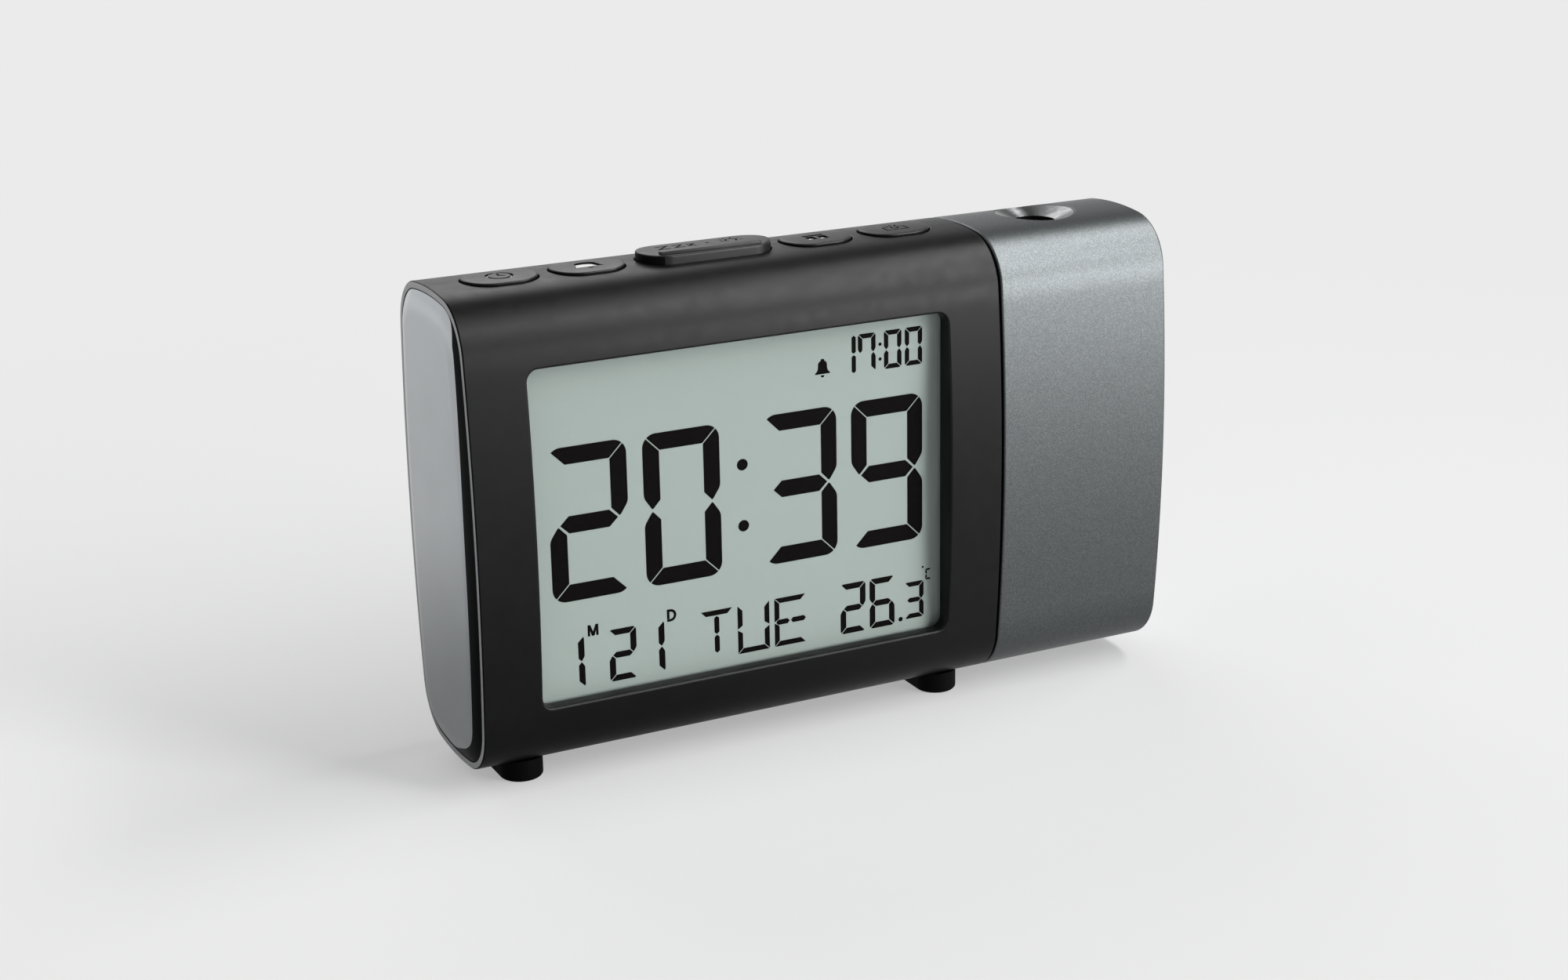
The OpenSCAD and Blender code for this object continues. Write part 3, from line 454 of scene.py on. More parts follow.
class NodeBench:
    """Adds and joins the shader nodes of one material."""

    def __init__(self, name: str) -> None:
        """Starts a material with a Principled shader.

        Args:
            name: Name of the material.
        """
        self.material = bpy.data.materials.new(name)
        self.material.use_nodes = True
        self.tree = self.material.node_tree
        self.shader = self.tree.nodes["Principled BSDF"]
        self.place = self.add("ShaderNodeTexCoord").outputs["Object"]

    def add(self, kind: str, **values: object) -> bpy.types.ShaderNode:
        """Adds a node and sets its inputs by name.

        Args:
            kind: Type of the node.
            **values: Inputs, with _ for a space, or properties of the node.

        Returns:
            The node.
        """
        node = self.tree.nodes.new(kind)
        for key, value in values.items():
            label = key.replace("_", " ")
            if label in node.inputs:
                node.inputs[label].default_value = value
            else:
                setattr(node, key, value)
        return node

    def join(self, source: bpy.types.NodeSocket, target: bpy.types.NodeSocket) -> None:
        """Links an output to an input."""
        self.tree.links.new(source, target)

    def set(self, **values: object) -> None:
        """Sets the shader's own inputs, with _ for a space."""
        for key, value in values.items():
            self.shader.inputs[key.replace("_", " ")].default_value = value

    def noise(self, size: float, detail: float = 2.0, stretch: Point3 = (1, 1, 1)) -> bpy.types.NodeSocket:
        """Adds noise with spots of a size.

        Args:
            size: Spot size in millimetres.
            detail: Octaves.
            stretch: Scale along the three axes.

        Returns:
            The value output.
        """
        source = self.place
        if stretch != (1, 1, 1):
            mapping = self.add("ShaderNodeMapping")
            mapping.inputs["Scale"].default_value = stretch
            self.join(source, mapping.inputs["Vector"])
            source = mapping.outputs["Vector"]
        texture = self.add("ShaderNodeTexNoise", Scale=1 / (size * MM), Detail=detail)
        self.join(source, texture.inputs["Vector"])
        return texture.outputs["Fac"]

    def ramp(
        self,
        source: bpy.types.NodeSocket,
        low: Colour,
        high: Colour,
        start: float = NOISE_LOW,
        end: float = NOISE_HIGH,
    ) -> bpy.types.NodeSocket:
        """Maps a value to a run of colour.

        Args:
            source: The value.
            low: Colour below start.
            high: Colour above end.
            start: Value where the run begins.
            end: Value where it ends.

        Returns:
            The colour output.
        """
        node = self.add("ShaderNodeValToRGB")
        first, last = node.color_ramp.elements
        first.position, last.position = start, end
        first.color, last.color = (*low, 1.0), (*high, 1.0)
        self.join(source, node.inputs["Fac"])
        return node.outputs["Color"]

    def spread(self, source: bpy.types.NodeSocket, low: float, high: float) -> bpy.types.NodeSocket:
        """Maps noise to a range of values.

        Args:
            source: The noise.
            low: Value where the noise is low.
            high: Value where it is high.

        Returns:
            The value output.
        """
        ends = {"From_Min": NOISE_LOW, "From_Max": NOISE_HIGH, "To_Min": low, "To_Max": high}
        node = self.add("ShaderNodeMapRange", **ends)
        self.join(source, node.inputs["Value"])
        return node.outputs["Result"]

    def paint(
        self, colour: bpy.types.NodeSocket, size: float, detail: float, low: float, high: float
    ) -> None:
        """Gives the shader its colour and a roughness that varies in spots.

        Args:
            colour: The colour output.
            size: Spot size in millimetres.
            detail: Octaves.
            low: Least roughness.
            high: Greatest roughness.
        """
        self.join(colour, self.shader.inputs["Base Color"])
        self.join(self.spread(self.noise(size, detail), low, high), self.shader.inputs["Roughness"])

    def bump(self, source: bpy.types.NodeSocket, height: float, strength: float = 1.0) -> None:
        """Adds relief of a height in millimetres on top of what is there.

        Args:
            source: What gives the relief.
            height: Its height.
            strength: Share of it that shows.
        """
        node = self.add("ShaderNodeBump", Distance=height * MM, Strength=strength)
        self.join(source, node.inputs["Height"])
        normal = self.shader.inputs["Normal"]
        if normal.is_linked:
            self.join(normal.links[0].from_socket, node.inputs["Normal"])
        self.join(node.outputs["Normal"], normal)


def scaled(colour: Colour, share: float) -> Colour:
    """Multiplies a colour, each part at most 1."""
    return tuple(min(1.0, part * share) for part in colour)


@dataclass(frozen=True)
class Moulded:
    """Moulded plastic or rubber with a fine spark-eroded texture.

    Attributes:
        grain: Spot size of the texture in millimetres.
        relief: Height of the texture in millimetres.
        mottle: Share by which the colour varies.
        specular: Specular level.
        coat: Weight of a clear coat.
        metallic: Share of metal, as in silver paint.
    """

    name: str
    colour: Colour
    roughness: float = 0.45
    grain: float = 0.12
    relief: float = 0.012
    mottle: float = 0.08
    specular: float = 0.5
    coat: float = 0.0
    metallic: float = 0.0

    def build(self) -> bpy.types.Material:
        """Makes the material.

        Returns:
            It, with its nodes joined.
        """
        bench = NodeBench(self.name)
        patches = bench.noise(9.0, 3.0)
        fine = bench.noise(self.grain, 2.0)
        low, high = scaled(self.colour, 1 - self.mottle), scaled(self.colour, 1 + self.mottle)
        colour = bench.ramp(patches, low, high)
        bench.paint(colour, 2.5, 4.0, self.roughness * 0.92, self.roughness * 1.08)
        bench.set(Specular_IOR_Level=self.specular, Coat_Weight=self.coat, Coat_Roughness=0.08)
        bench.set(Metallic=self.metallic)
        bench.bump(fine, self.relief)
        return bench.material


@dataclass(frozen=True)
class FlakePaint:
    """Satin paint with fine metal flakes.

    Attributes:
        flake: Colour of the bright flakes.
        metallic: Share of metal.
        flake_size: Flake size in millimetres.
        relief: Height of the paint's texture in millimetres.
    """

    name: str
    colour: Colour
    flake: Colour
    metallic: float = 0.7
    roughness: float = 0.36
    flake_size: float = 0.11
    relief: float = 0.003

    def build(self) -> bpy.types.Material:
        """Makes the material.

        Returns:
            It, with its nodes joined.
        """
        bench = NodeBench(self.name)
        flakes = bench.add("ShaderNodeTexVoronoi", Scale=1 / (self.flake_size * MM))
        bench.join(bench.place, flakes.inputs["Vector"])
        pick = bench.add("ShaderNodeSeparateColor")
        bench.join(flakes.outputs["Color"], pick.inputs["Color"])
        colour = bench.ramp(pick.outputs["Red"], self.colour, self.flake, 0.35, 1.0)
        bench.paint(colour, 0.5, 3.0, self.roughness * 0.96, self.roughness * 1.04)
        bench.set(Metallic=self.metallic)
        bench.bump(pick.outputs["Green"], self.relief, 0.6)
        return bench.material


@dataclass(frozen=True)
class Clear:
    """Clear moulded plastic or glass.

    Attributes:
        tint: Colour of what it holds back.
        alpha: How much it holds back.
        specular: Specular level; low where the faces are coated against glare.
    """

    name: str
    tint: Colour
    alpha: float
    roughness: float = 0.04
    specular: float = 0.5

    def build(self) -> bpy.types.Material:
        """Makes the material.

        Returns:
            It, with its nodes joined.
        """
        bench = NodeBench(self.name)
        bench.set(Alpha=self.alpha, IOR=1.49, Specular_IOR_Level=self.specular)
        colour = bench.ramp(bench.noise(12.0), scaled(self.tint, 0.96), self.tint)
        bench.paint(colour, 3.0, 5.0, self.roughness * 0.7, self.roughness * 1.3)
        bench.bump(bench.noise(20.0, 1.0), 0.004)
        return bench.material


@dataclass(frozen=True)
class Metal:
    """Sheet, wire or turned metal with fine lines.

    Attributes:
        lines: Stretch of the fine lines along the three axes.
        relief: Height of the lines in millimetres.
        turned: Share by which a lathe's grooves, round the piece's upright axis, spread its gloss.
    """

    name: str
    colour: Colour
    roughness: float = 0.3
    lines: Point3 = (0.15, 1.0, 1.0)
    relief: float = 0.004
    turned: float = 0.0

    def build(self) -> bpy.types.Material:
        """Makes the material.

        Returns:
            It, with its nodes joined.
        """
        bench = NodeBench(self.name)
        grain = bench.noise(0.15, 2.0, self.lines)
        colour = bench.ramp(grain, scaled(self.colour, 0.9), scaled(self.colour, 1.05))
        bench.paint(colour, 1.2, 3.0, self.roughness * 0.8, self.roughness * 1.2)
        bench.set(Metallic=1.0)
        if self.turned:
            grooves = bench.add("ShaderNodeTangent", direction_type="RADIAL", axis="Z")
            bench.join(grooves.outputs["Tangent"], bench.shader.inputs["Tangent"])
            across_grooves = 0.25  # of a full turn
            bench.set(Anisotropic=self.turned, Anisotropic_Rotation=across_grooves)
        bench.bump(grain, self.relief)
        return bench.material


@dataclass(frozen=True)
class Banded:
    """Plastic or foil with bands of two colours, such as a cell's wrap or a striped contact strip.

    Attributes:
        dark: First colour.
        light: Second colour.
        size: Length of a pair of bands in millimetres.
        axis: Axis that the bands follow each other along.
        split: Share of the first colour.
        metallic: Share of metal.
    """

    name: str
    dark: Colour
    light: Colour
    size: float
    axis: str = "X"
    split: float = 0.5
    metallic: float = 0.0

    def build(self) -> bpy.types.Material:
        """Makes the material.

        Returns:
            It, with its nodes joined.
        """
        bench = NodeBench(self.name)
        saw = 0.314  # length of a pair of bands at scale 1
        wave = bench.add(
            "ShaderNodeTexWave", Scale=saw / (self.size * MM), wave_profile="SAW", bands_direction=self.axis
        )
        bench.join(bench.place, wave.inputs["Vector"])
        colour = bench.ramp(wave.outputs["Fac"], self.dark, self.light, self.split, self.split + 0.01)
        bench.paint(colour, 1.0, 3.0, 0.26, 0.38)
        bench.set(Metallic=self.metallic)
        bench.bump(bench.noise(0.6, 3.0), 0.004)
        return bench.material


@dataclass(frozen=True)
class SolderMask:
    """Circuit board: green mask over copper tracks.

    Attributes:
        mask: Colour over the bare board.
        track: Colour over the copper.
        pitch: Spacing of the tracks in millimetres.
    """

    name: str
    mask: Colour
    track: Colour
    pitch: float = 1.6

    def build(self) -> bpy.types.Material:
        """Makes the material.

        Returns:
            It, with its nodes joined.
        """
        bench = NodeBench(self.name)
        cells = bench.add(
            "ShaderNodeTexVoronoi",
            Scale=1 / (self.pitch * MM),
            Randomness=0.55,
            distance="CHEBYCHEV",
            feature="F1",
        )
        bench.join(bench.place, cells.inputs["Vector"])
        colour = bench.ramp(cells.outputs["Distance"], self.mask, self.track, 0.34, 0.36)
        bench.paint(colour, 2.0, 3.0, 0.22, 0.34)
        bench.bump(cells.outputs["Distance"], 0.02, 0.5)
        return bench.material


@dataclass(frozen=True)
class Polariser:
    """Grey-green film over a display's reflector.

    Attributes:
        colour: Colour of the film in even light.
    """

    name: str
    colour: Colour
    roughness: float = 0.5

    def build(self) -> bpy.types.Material:
        """Makes the material.

        Returns:
            It, with its nodes joined.
        """
        bench = NodeBench(self.name)
        colour = bench.ramp(bench.noise(0.22, 2.0), scaled(self.colour, 0.985), scaled(self.colour, 1.015))
        bench.paint(colour, 4.0, 2.0, self.roughness * 0.95, self.roughness * 1.05)
        bench.set(Specular_IOR_Level=0.25)
        bench.bump(bench.noise(0.1, 1.0), 0.002)
        return bench.material


class Finish(Enum):
    """Every finish of the clock, by its slot or its own name."""

    CASE = Moulded("case_black", (0.0032, 0.0032, 0.0036), 0.38, 0.14, 0.008, 0.1, 0.2)
    # painted sheen: grey standing in for the gloss on the black sleeve's bare end rim
    RIM = Moulded("rim_painted_sheen", (0.26, 0.264, 0.27), 0.3, 0.16, 0.004, 0.05)
    END_GREY = Moulded("end_grey", (0.47, 0.5, 0.52), 0.15, 1.6, 0.003, 0.03, 0.5, 0.3, 0.8)
    # painted dark reflection: near-black for the band on the end domes and for the line on the case's left
    # edge round
    DARK_REFLECTION = Moulded("painted_dark_reflection", (0.002, 0.0026, 0.003), 0.3, 1.6, 0.004, 0.03, 0.05)
    KEY = Moulded("key_black", (0.008, 0.008, 0.0085), 0.34, 0.16, 0.006, 0.08, 0.26)
    # painted shade: near-black for the keys' side walls, standing in for the shade in the gaps round them
    KEY_WALL_SHADE = Moulded("key_wall_shade", (0.0016, 0.0016, 0.0018), 0.5, 0.16, 0.006, 0.08, 0.06)
    KEY_FILL = Moulded("key_fill", (0.7, 0.7, 0.69), 0.45, 0.2, 0.004, 0.03)
    RUBBER = Moulded("foot_rubber", (0.0015, 0.0015, 0.0015), 0.6, 0.25, 0.02, 0.12, 0.05)
    MOULDING = Moulded("moulding_black", (0.045, 0.045, 0.048), 0.5, 0.2, 0.012)
    EPOXY = Moulded("epoxy_black", (0.016, 0.016, 0.016), 0.3, 1.2, 0.02)
    BUSH = Moulded("bush_white", (0.78, 0.78, 0.74), 0.38, 0.3, 0.006, 0.03)
    CREAM = Moulded("connector_cream", (0.8, 0.76, 0.64), 0.4, 0.3, 0.006, 0.04)
    GUIDE = Moulded("guide_white", (0.82, 0.84, 0.82), 0.3, 0.6, 0.02, 0.02)
    LAMP = Moulded("led_body", (0.86, 0.84, 0.66), 0.3, 0.4, 0.006, 0.04)
    LED = Moulded("led_red", (0.55, 0.02, 0.015), 0.08, 1.0, 0.002, 0.05, 0.7, 0.5)
    WIRE = Moulded("wire_red", (0.42, 0.02, 0.015), 0.42, 0.4, 0.01)
    PLUNGER = Moulded("plunger_red", (0.4, 0.04, 0.025), 0.35, 0.3, 0.006)
    SLEEVE = Moulded("sleeve_blue", (0.03, 0.045, 0.16), 0.22, 0.6, 0.006, 0.08)
    SENSOR = Moulded("sensor_blue", (0.03, 0.1, 0.28), 0.25, 0.6, 0.01)
    INK = Moulded("segment_ink", (0.0016, 0.0010, 0.0010), 0.6, 0.3, 0.002, 0.1, 0.05)
    HEAD = FlakePaint("head_slate", (0.092, 0.1, 0.103), (0.152, 0.162, 0.166), 0.95, 0.42)
    RING = Metal("polished_ring", (0.27, 0.274, 0.277), 0.38, (1.0, 1.0, 0.2), 0.0004, 0.85)
    WINDOW = Clear("clear_window", (0.01, 0.01, 0.01), 0.03, 0.04, 0.1)
    LENS = Clear("lens_glass", (0.05, 0.06, 0.08), 0.35, 0.03)
    IMAGE = Moulded("image_glass", (0.06, 0.06, 0.08), 0.1, 1.0, 0.002)
    TIN = Metal("tin_can", (0.62, 0.62, 0.62), 0.3)
    SCREW = Metal("screw_steel", (0.55, 0.55, 0.57), 0.32, (1.0, 1.0, 1.0), 0.01)
    SPRING = Metal("spring_steel", (0.62, 0.62, 0.6), 0.26)
    CELL = Banded("cell_wrap", (0.02, 0.02, 0.022), (0.45, 0.46, 0.48), 44.0, "X", 0.68, 0.8)
    ZEBRA = Banded("zebra_pink", (0.05, 0.04, 0.04), (0.62, 0.36, 0.42), 0.5)
    BOARD = SolderMask("board_green", (0.012, 0.11, 0.045), (0.03, 0.2, 0.08))
    LCD = Polariser("lcd_glass", (0.298, 0.348, 0.327))


class Dresser:
    """Gives finishes to pieces and to the frame's own parts; each material is made once."""

    def __init__(self) -> None:
        """Starts with no materials made."""
        self.made: dict[Finish, bpy.types.Material] = {}

    def material(self, finish: Finish) -> bpy.types.Material:
        """Gives the material of a finish.

        Args:
            finish: The finish.

        Returns:
            Its material, made the first time that it is asked for.
        """
        if finish not in self.made:
            self.made[finish] = finish.value.build()
        return self.made[finish]

    def dress(self, piece: bpy.types.Object, *finishes: Finish) -> None:
        """Puts finishes on a piece's slots.

        Args:
            piece: The piece.
            *finishes: One for each slot.
        """
        if piece.data.materials:
            piece.data.materials.clear()
        for finish in finishes:
            piece.data.materials.append(self.material(finish))

    def fit(
        self,
        piece: bpy.types.Object,
        body: Body,
        finishes: Sequence[Finish],
        stands_for: Sequence[str] = (),
    ) -> None:
        """Dresses a new piece and lets it ride.

        Args:
            piece: The piece.
            body: The body that it moves with.
            finishes: Its finishes.
            stands_for: Parts of the frame that it replaces.
        """
        self.dress(piece, *finishes)
        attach(piece, body.value)
        if stands_for:
            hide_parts(*stands_for)
        LOG.info("%s: %d faces", piece.name, len(piece.data.polygons))


# ---- main case ----


@dataclass(frozen=True)
class EdgeRound:
    """Quarter-round of an edge.

    Attributes:
        radius: Radius of the round.
        steps: Number of chords.
    """

    radius: float
    steps: int = 6

    def depths(self) -> list[Point2]:
        """Gives the round's points.

        Returns:
            Pairs (distance from the end face, inset), from the end face to the side.
        """
        pairs = []
        for i in range(self.steps + 1):
            turn = math.radians(90 * (1 - i / self.steps))
            pairs.append((self.radius * (1 - math.sin(turn)), self.radius * (1 - math.cos(turn))))
        return pairs

    def flare(self) -> list[Point2]:
        """Gives the points of a hole's rounded lip, ending outside the surface.

        Returns:
            Pairs (outward offset, depth).
        """
        last = 75.0
        reach = 0.4
        pairs = []
        for i in range(self.steps + 1):
            turn = math.radians(last * i / self.steps)
            pairs.append((self.radius * (1 - math.cos(turn)), self.radius * (1 - math.sin(turn))))
        turn = math.radians(last)
        offset, depth = pairs[-1]
        pairs.append((offset + reach * math.sin(turn), depth - reach * math.cos(turn)))
        return pairs


def side_cutter(
    outline: RoundedOutline, middle: Point2, lip: EdgeRound, foot_y: float = CUT_FOOT_Y, back: bool = True
) -> MeshDraft:
    """Makes a cutter for an opening in the back or the front, with a rounded lip.

    Args:
        outline: Shape of the opening.
        middle: Its middle, along and up.
        lip: The lip's round.
        foot_y: Distance of the cutter's inner end from the middle plane.
        back: False for the front.

    Returns:
        The closed draft.
    """
    side = 1 if back else -1
    rings = [[(s, side * foot_y, z) for s, z in outline.points(middle)]]
    for offset, depth in lip.flare():
        rings.append([(s, side * (SECTION.side_y(z) - depth), z) for s, z in outline.points(middle, offset)])
    return lofted(rings)


def top_cutter(outline: RoundedOutline, middle: Point2, lip: EdgeRound) -> MeshDraft:
    """Makes a cutter for an opening in the crown, with a rounded lip.

    Args:
        outline: Shape of the opening.
        middle: Its middle, along and deep.
        lip: The lip's round.

    Returns:
        The closed draft.
    """
    rings = [[(s, y, CUT_FOOT_Z) for s, y in outline.points(middle)]]
    for offset, depth in lip.flare():
        rings.append([(s, y, SECTION.crown_z(y) - depth) for s, y in outline.points(middle, offset)])
    return lofted(rings)


@dataclass(frozen=True)
class Shell:
    """A length of the pillow section with rounded ends and a hollow.

    Attributes:
        start: Where it begins along the clock.
        left: Round of the left outer edge.
        right: Round of the right outer edge.
        left_seat: True where an end panel sits at the left.
        right_seat: True where one sits at the right.
        flat_front: Depth at which the hollow's front is flat, or None.
        seat_lip: Round of the inner edge of a panel's opening.
        near: How far off the outer surface a point may lie and still count as on it.
    """

    start: float
    length: float
    wall: float
    left: EdgeRound
    right: EdgeRound
    left_seat: bool = False
    right_seat: bool = False
    flat_front: float | None = None
    seat_lip: EdgeRound = EdgeRound(0.12, 3)
    near: float = 0.02

    def ring(self, s: float, inset: float, hollow: bool = False) -> list[Point3]:
        """Gives one ring of points of the shell.

        Args:
            s: Where it lies along the clock.
            inset: Distance inside the outer surface.
            hollow: True for a ring of the hollow.

        Returns:
            Its points.
        """
        points = SECTION.contour(inset)
        if hollow and self.flat_front is not None:
            points = [(max(y, -self.flat_front), z) for y, z in points]
        return [(s, y, z) for y, z in points]

    def draft(self) -> MeshDraft:
        """Makes the shell.

        Returns:
            The closed draft.
        """
        end = self.start + self.length
        rings = [self.ring(self.start + d, inset) for d, inset in self.left.depths()]
        rings += [self.ring(end - d, inset) for d, inset in reversed(self.right.depths())]
        if self.right_seat:
            rings += [self.ring(end - d, RIM_WALL - inset) for d, inset in self.seat_lip.depths()]
            rings.append(self.ring(end - PANEL_SEAT, RIM_WALL))
            rings.append(self.ring(end - PANEL_SEAT, self.wall, True))
        else:
            rings.append(self.ring(end, self.wall, True))
        if self.left_seat:
            rings.append(self.ring(self.start + PANEL_SEAT, self.wall, True))
            rings.append(self.ring(self.start + PANEL_SEAT, RIM_WALL))
            lip = reversed(self.seat_lip.depths())
            rings += [self.ring(self.start + d, RIM_WALL - inset) for d, inset in lip]
        else:
            rings.append(self.ring(self.start, self.wall, True))
        return lofted(rings, looped=True)

    def normal(self, at: Vector) -> Vector | None:
        """Gives the outer surface's normal at a point.

        Args:
            at: The point, in section millimetres.

        Returns:
            The normal, or None for a point that isn't on the outer surface.
        """
        from_left, from_right = at.x - self.start, self.start + self.length - at.x
        lean, inset = 0.0, 0.0
        for distance, edge, side in ((from_left, self.left, -1), (from_right, self.right, 1)):
            if distance < edge.radius:
                share = min(1.0, (edge.radius - distance) / edge.radius)
                lean, inset = side * share, edge.radius * (1 - math.sqrt(1 - share * share))
        at_side = abs(at.z) <= SECTION.corner[1]
        if at_side and abs(abs(at.y) - SECTION.side_y(at.z, inset)) > self.near:
            return None
        out_y, out_z = SECTION.outward(at.y, at.z)
        flat = math.sqrt(1 - lean * lean)
        return Vector((lean, out_y * flat, out_z * flat))


@dataclass(frozen=True)
class MainCase:
    """The black sleeve: display opening, key openings, and the openings of its back.

    Attributes:
        inner_front: Distance of the flat inner front from the middle plane.
        window: Opening of the display.
        window_lip: Round of that opening.
        window_past: How far the window's cutter reaches into the hollow.
        key_gap: Gap round a key.
        key_lip: Round of its opening.
        cavity_middle: Middle of the battery opening along the clock.
        cavity: Opening over the cells.
        door_seat: Recess that the door lies in.
        sound_middle: Middle of the sound slots.
        sound_height: Height of the middle sound slot; the others get shorter by 1 mm each.
        air_middle: Middle of the air slots.
        sound_side: Number of sound slots to each side of the middle one; air_side is alike.
        slot_pitch: Spacing of the slots.
        slot_width: Narrow size of a slot.
        slot_lip: Round of the slots and of the door's recess.
        inlet_middle: Middle of the inlet's hole.
        inlet: Shape of that hole.
        rim_depth: Depth to which the left end's bare rim goes; its grey is a painted sheen.
        rim_lean: How squarely a face of the bare rim looks to the left.
        line_depth: Depth to which the dark line beside the rim, a painted dark reflection on the edge round,
            goes.
        line_lean: How squarely its faces look to the left at least.
        line_top: Height above which the edge round gets no painted dark reflection.
    """

    length: float = CASE_LENGTH
    wall: float = 2.2
    inner_front: float = 12.95
    left_edge: EdgeRound = EdgeRound(0.25)
    right_edge: EdgeRound = EdgeRound(0.3, 4)
    window: RoundedOutline = RoundedOutline(75.4, 56.8, 2.0)
    window_lip: EdgeRound = EdgeRound(0.45)
    window_past: float = 1.0
    key_gap: float = 0.2
    key_lip: EdgeRound = EdgeRound(0.2, 4)
    cavity_middle: float = 39.95
    cavity: RoundedOutline = RoundedOutline(51.5, 22.2, 1.0, 4)
    cavity_lip: EdgeRound = EdgeRound(0.1, 2)
    door_seat: RoundedOutline = RoundedOutline(56.0, 26.7, 3.0)
    door_depth: float = 1.45
    sound_middle: Point2 = (77.5, 13.0)
    sound_height: float = 11.0
    sound_side: int = 3
    air_middle: Point2 = (77.5, -31.0)
    air_width: float = 8.0
    air_side: int = 1
    slot_pitch: float = 2.4
    slot_width: float = 1.2
    slot_round: float = 0.55
    slot_lip: EdgeRound = EdgeRound(0.15, 3)
    inlet_middle: Point2 = (77.5, -17.0)
    inlet: RoundedOutline = RoundedOutline(6.0, 6.0, 3.0, 10)
    inlet_lip: EdgeRound = EdgeRound(0.3, 4)
    rim_depth: float = 0.15
    rim_lean: float = 0.97
    line_depth: float = 0.25
    line_lean: float = 0.25
    line_top: float = 39.0

    def cutters(self, keys: Sequence["KeyCap"]) -> list[MeshDraft]:
        """Makes the cutters of every opening.

        Args:
            keys: The caps that need openings.

        Returns:
            Closed drafts.
        """
        window_foot = self.inner_front - self.window_past
        drafts = [side_cutter(self.window, (CASE_MIDDLE, 0.0), self.window_lip, window_foot, False)]
        for key in keys:
            drafts.append(top_cutter(key.outline(self.key_gap), (key.middle, 0.0), self.key_lip))
        drafts.append(side_cutter(self.cavity, (self.cavity_middle, 0.0), self.cavity_lip))
        drafts.append(self.seat_cutter())
        for i in range(-self.sound_side, self.sound_side + 1):
            slot = RoundedOutline(self.slot_width, self.sound_height - abs(i), self.slot_round, steps=4)
            middle = (self.sound_middle[0] + self.slot_pitch * i, self.sound_middle[1])
            drafts.append(side_cutter(slot, middle, self.slot_lip))
        for i in range(-self.air_side, self.air_side + 1):
            slot = RoundedOutline(self.air_width, self.slot_width, self.slot_round, steps=4)
            middle = (self.air_middle[0], self.air_middle[1] + self.slot_pitch * i)
            drafts.append(side_cutter(slot, middle, self.slot_lip))
        drafts.append(side_cutter(self.inlet, self.inlet_middle, self.inlet_lip))
        return drafts

    def seat_cutter(self) -> MeshDraft:
        """Makes the cutter of the recess that the battery door lies in.

        Returns:
            The closed draft; its floor is bowed like the back.
        """
        middle = (self.cavity_middle, 0.0)
        steps = [(0.0, self.door_depth), *self.slot_lip.flare()]
        rings = [
            [(s, SECTION.side_y(z) - depth, z) for s, z in self.door_seat.points(middle, offset)]
            for offset, depth in steps
        ]
        return lofted(rings)

    def build(self, dresser: Dresser, keys: Sequence["KeyCap"]) -> None:
        """Makes the sleeve and dresses it.

        Args:
            dresser: Gives the finishes.
            keys: The caps that need openings.
        """
        shell = Shell(
            0.0,
            self.length,
            self.wall,
            self.left_edge,
            self.right_edge,
            left_seat=True,
            flat_front=self.inner_front,
        )
        piece = shell.draft().piece("case_shell")
        carve(piece, self.cutters(keys))
        true_normals(piece, shell.normal)
        finishes = [Finish.CASE, Finish.RIM, Finish.DARK_REFLECTION]
        dresser.fit(piece, Body.CASE, finishes, ["case_sleeve"])
        # the bare rim is painted grey as its sheen
        give_zone(piece, finishes.index(Finish.RIM), self.on_sheen_rim)
        # the edge round beside the rim is painted near-black as a dark reflection, except near the top
        give_zone(piece, finishes.index(Finish.DARK_REFLECTION), self.on_painted_dark_line)

    def on_sheen_rim(self, at: Vector, out: Vector) -> bool:
        """Says whether a face is on the bare rim round the left end panel, whose grey is a painted sheen."""
        return at.x < self.rim_depth and out.x < -self.rim_lean

    def on_painted_dark_line(self, at: Vector, out: Vector) -> bool:
        """Says whether a face is on the dark line beside that rim, a painted dark reflection on the edge
        round.
        """
        leaning = -self.rim_lean <= out.x < -self.line_lean
        return at.x < self.line_depth and leaning and at.z < self.line_top


def smooth_step(value: float, start: float, end: float) -> float:
    """Runs softly from 0 at the start to 1 at the end.

    Args:
        value: The value.
        start: Where the run starts.
        end: Where it ends.

    Returns:
        The share of the run.
    """
    share = min(1.0, max(0.0, (value - start) / (end - start)))
    return share * share * (3 - 2 * share)


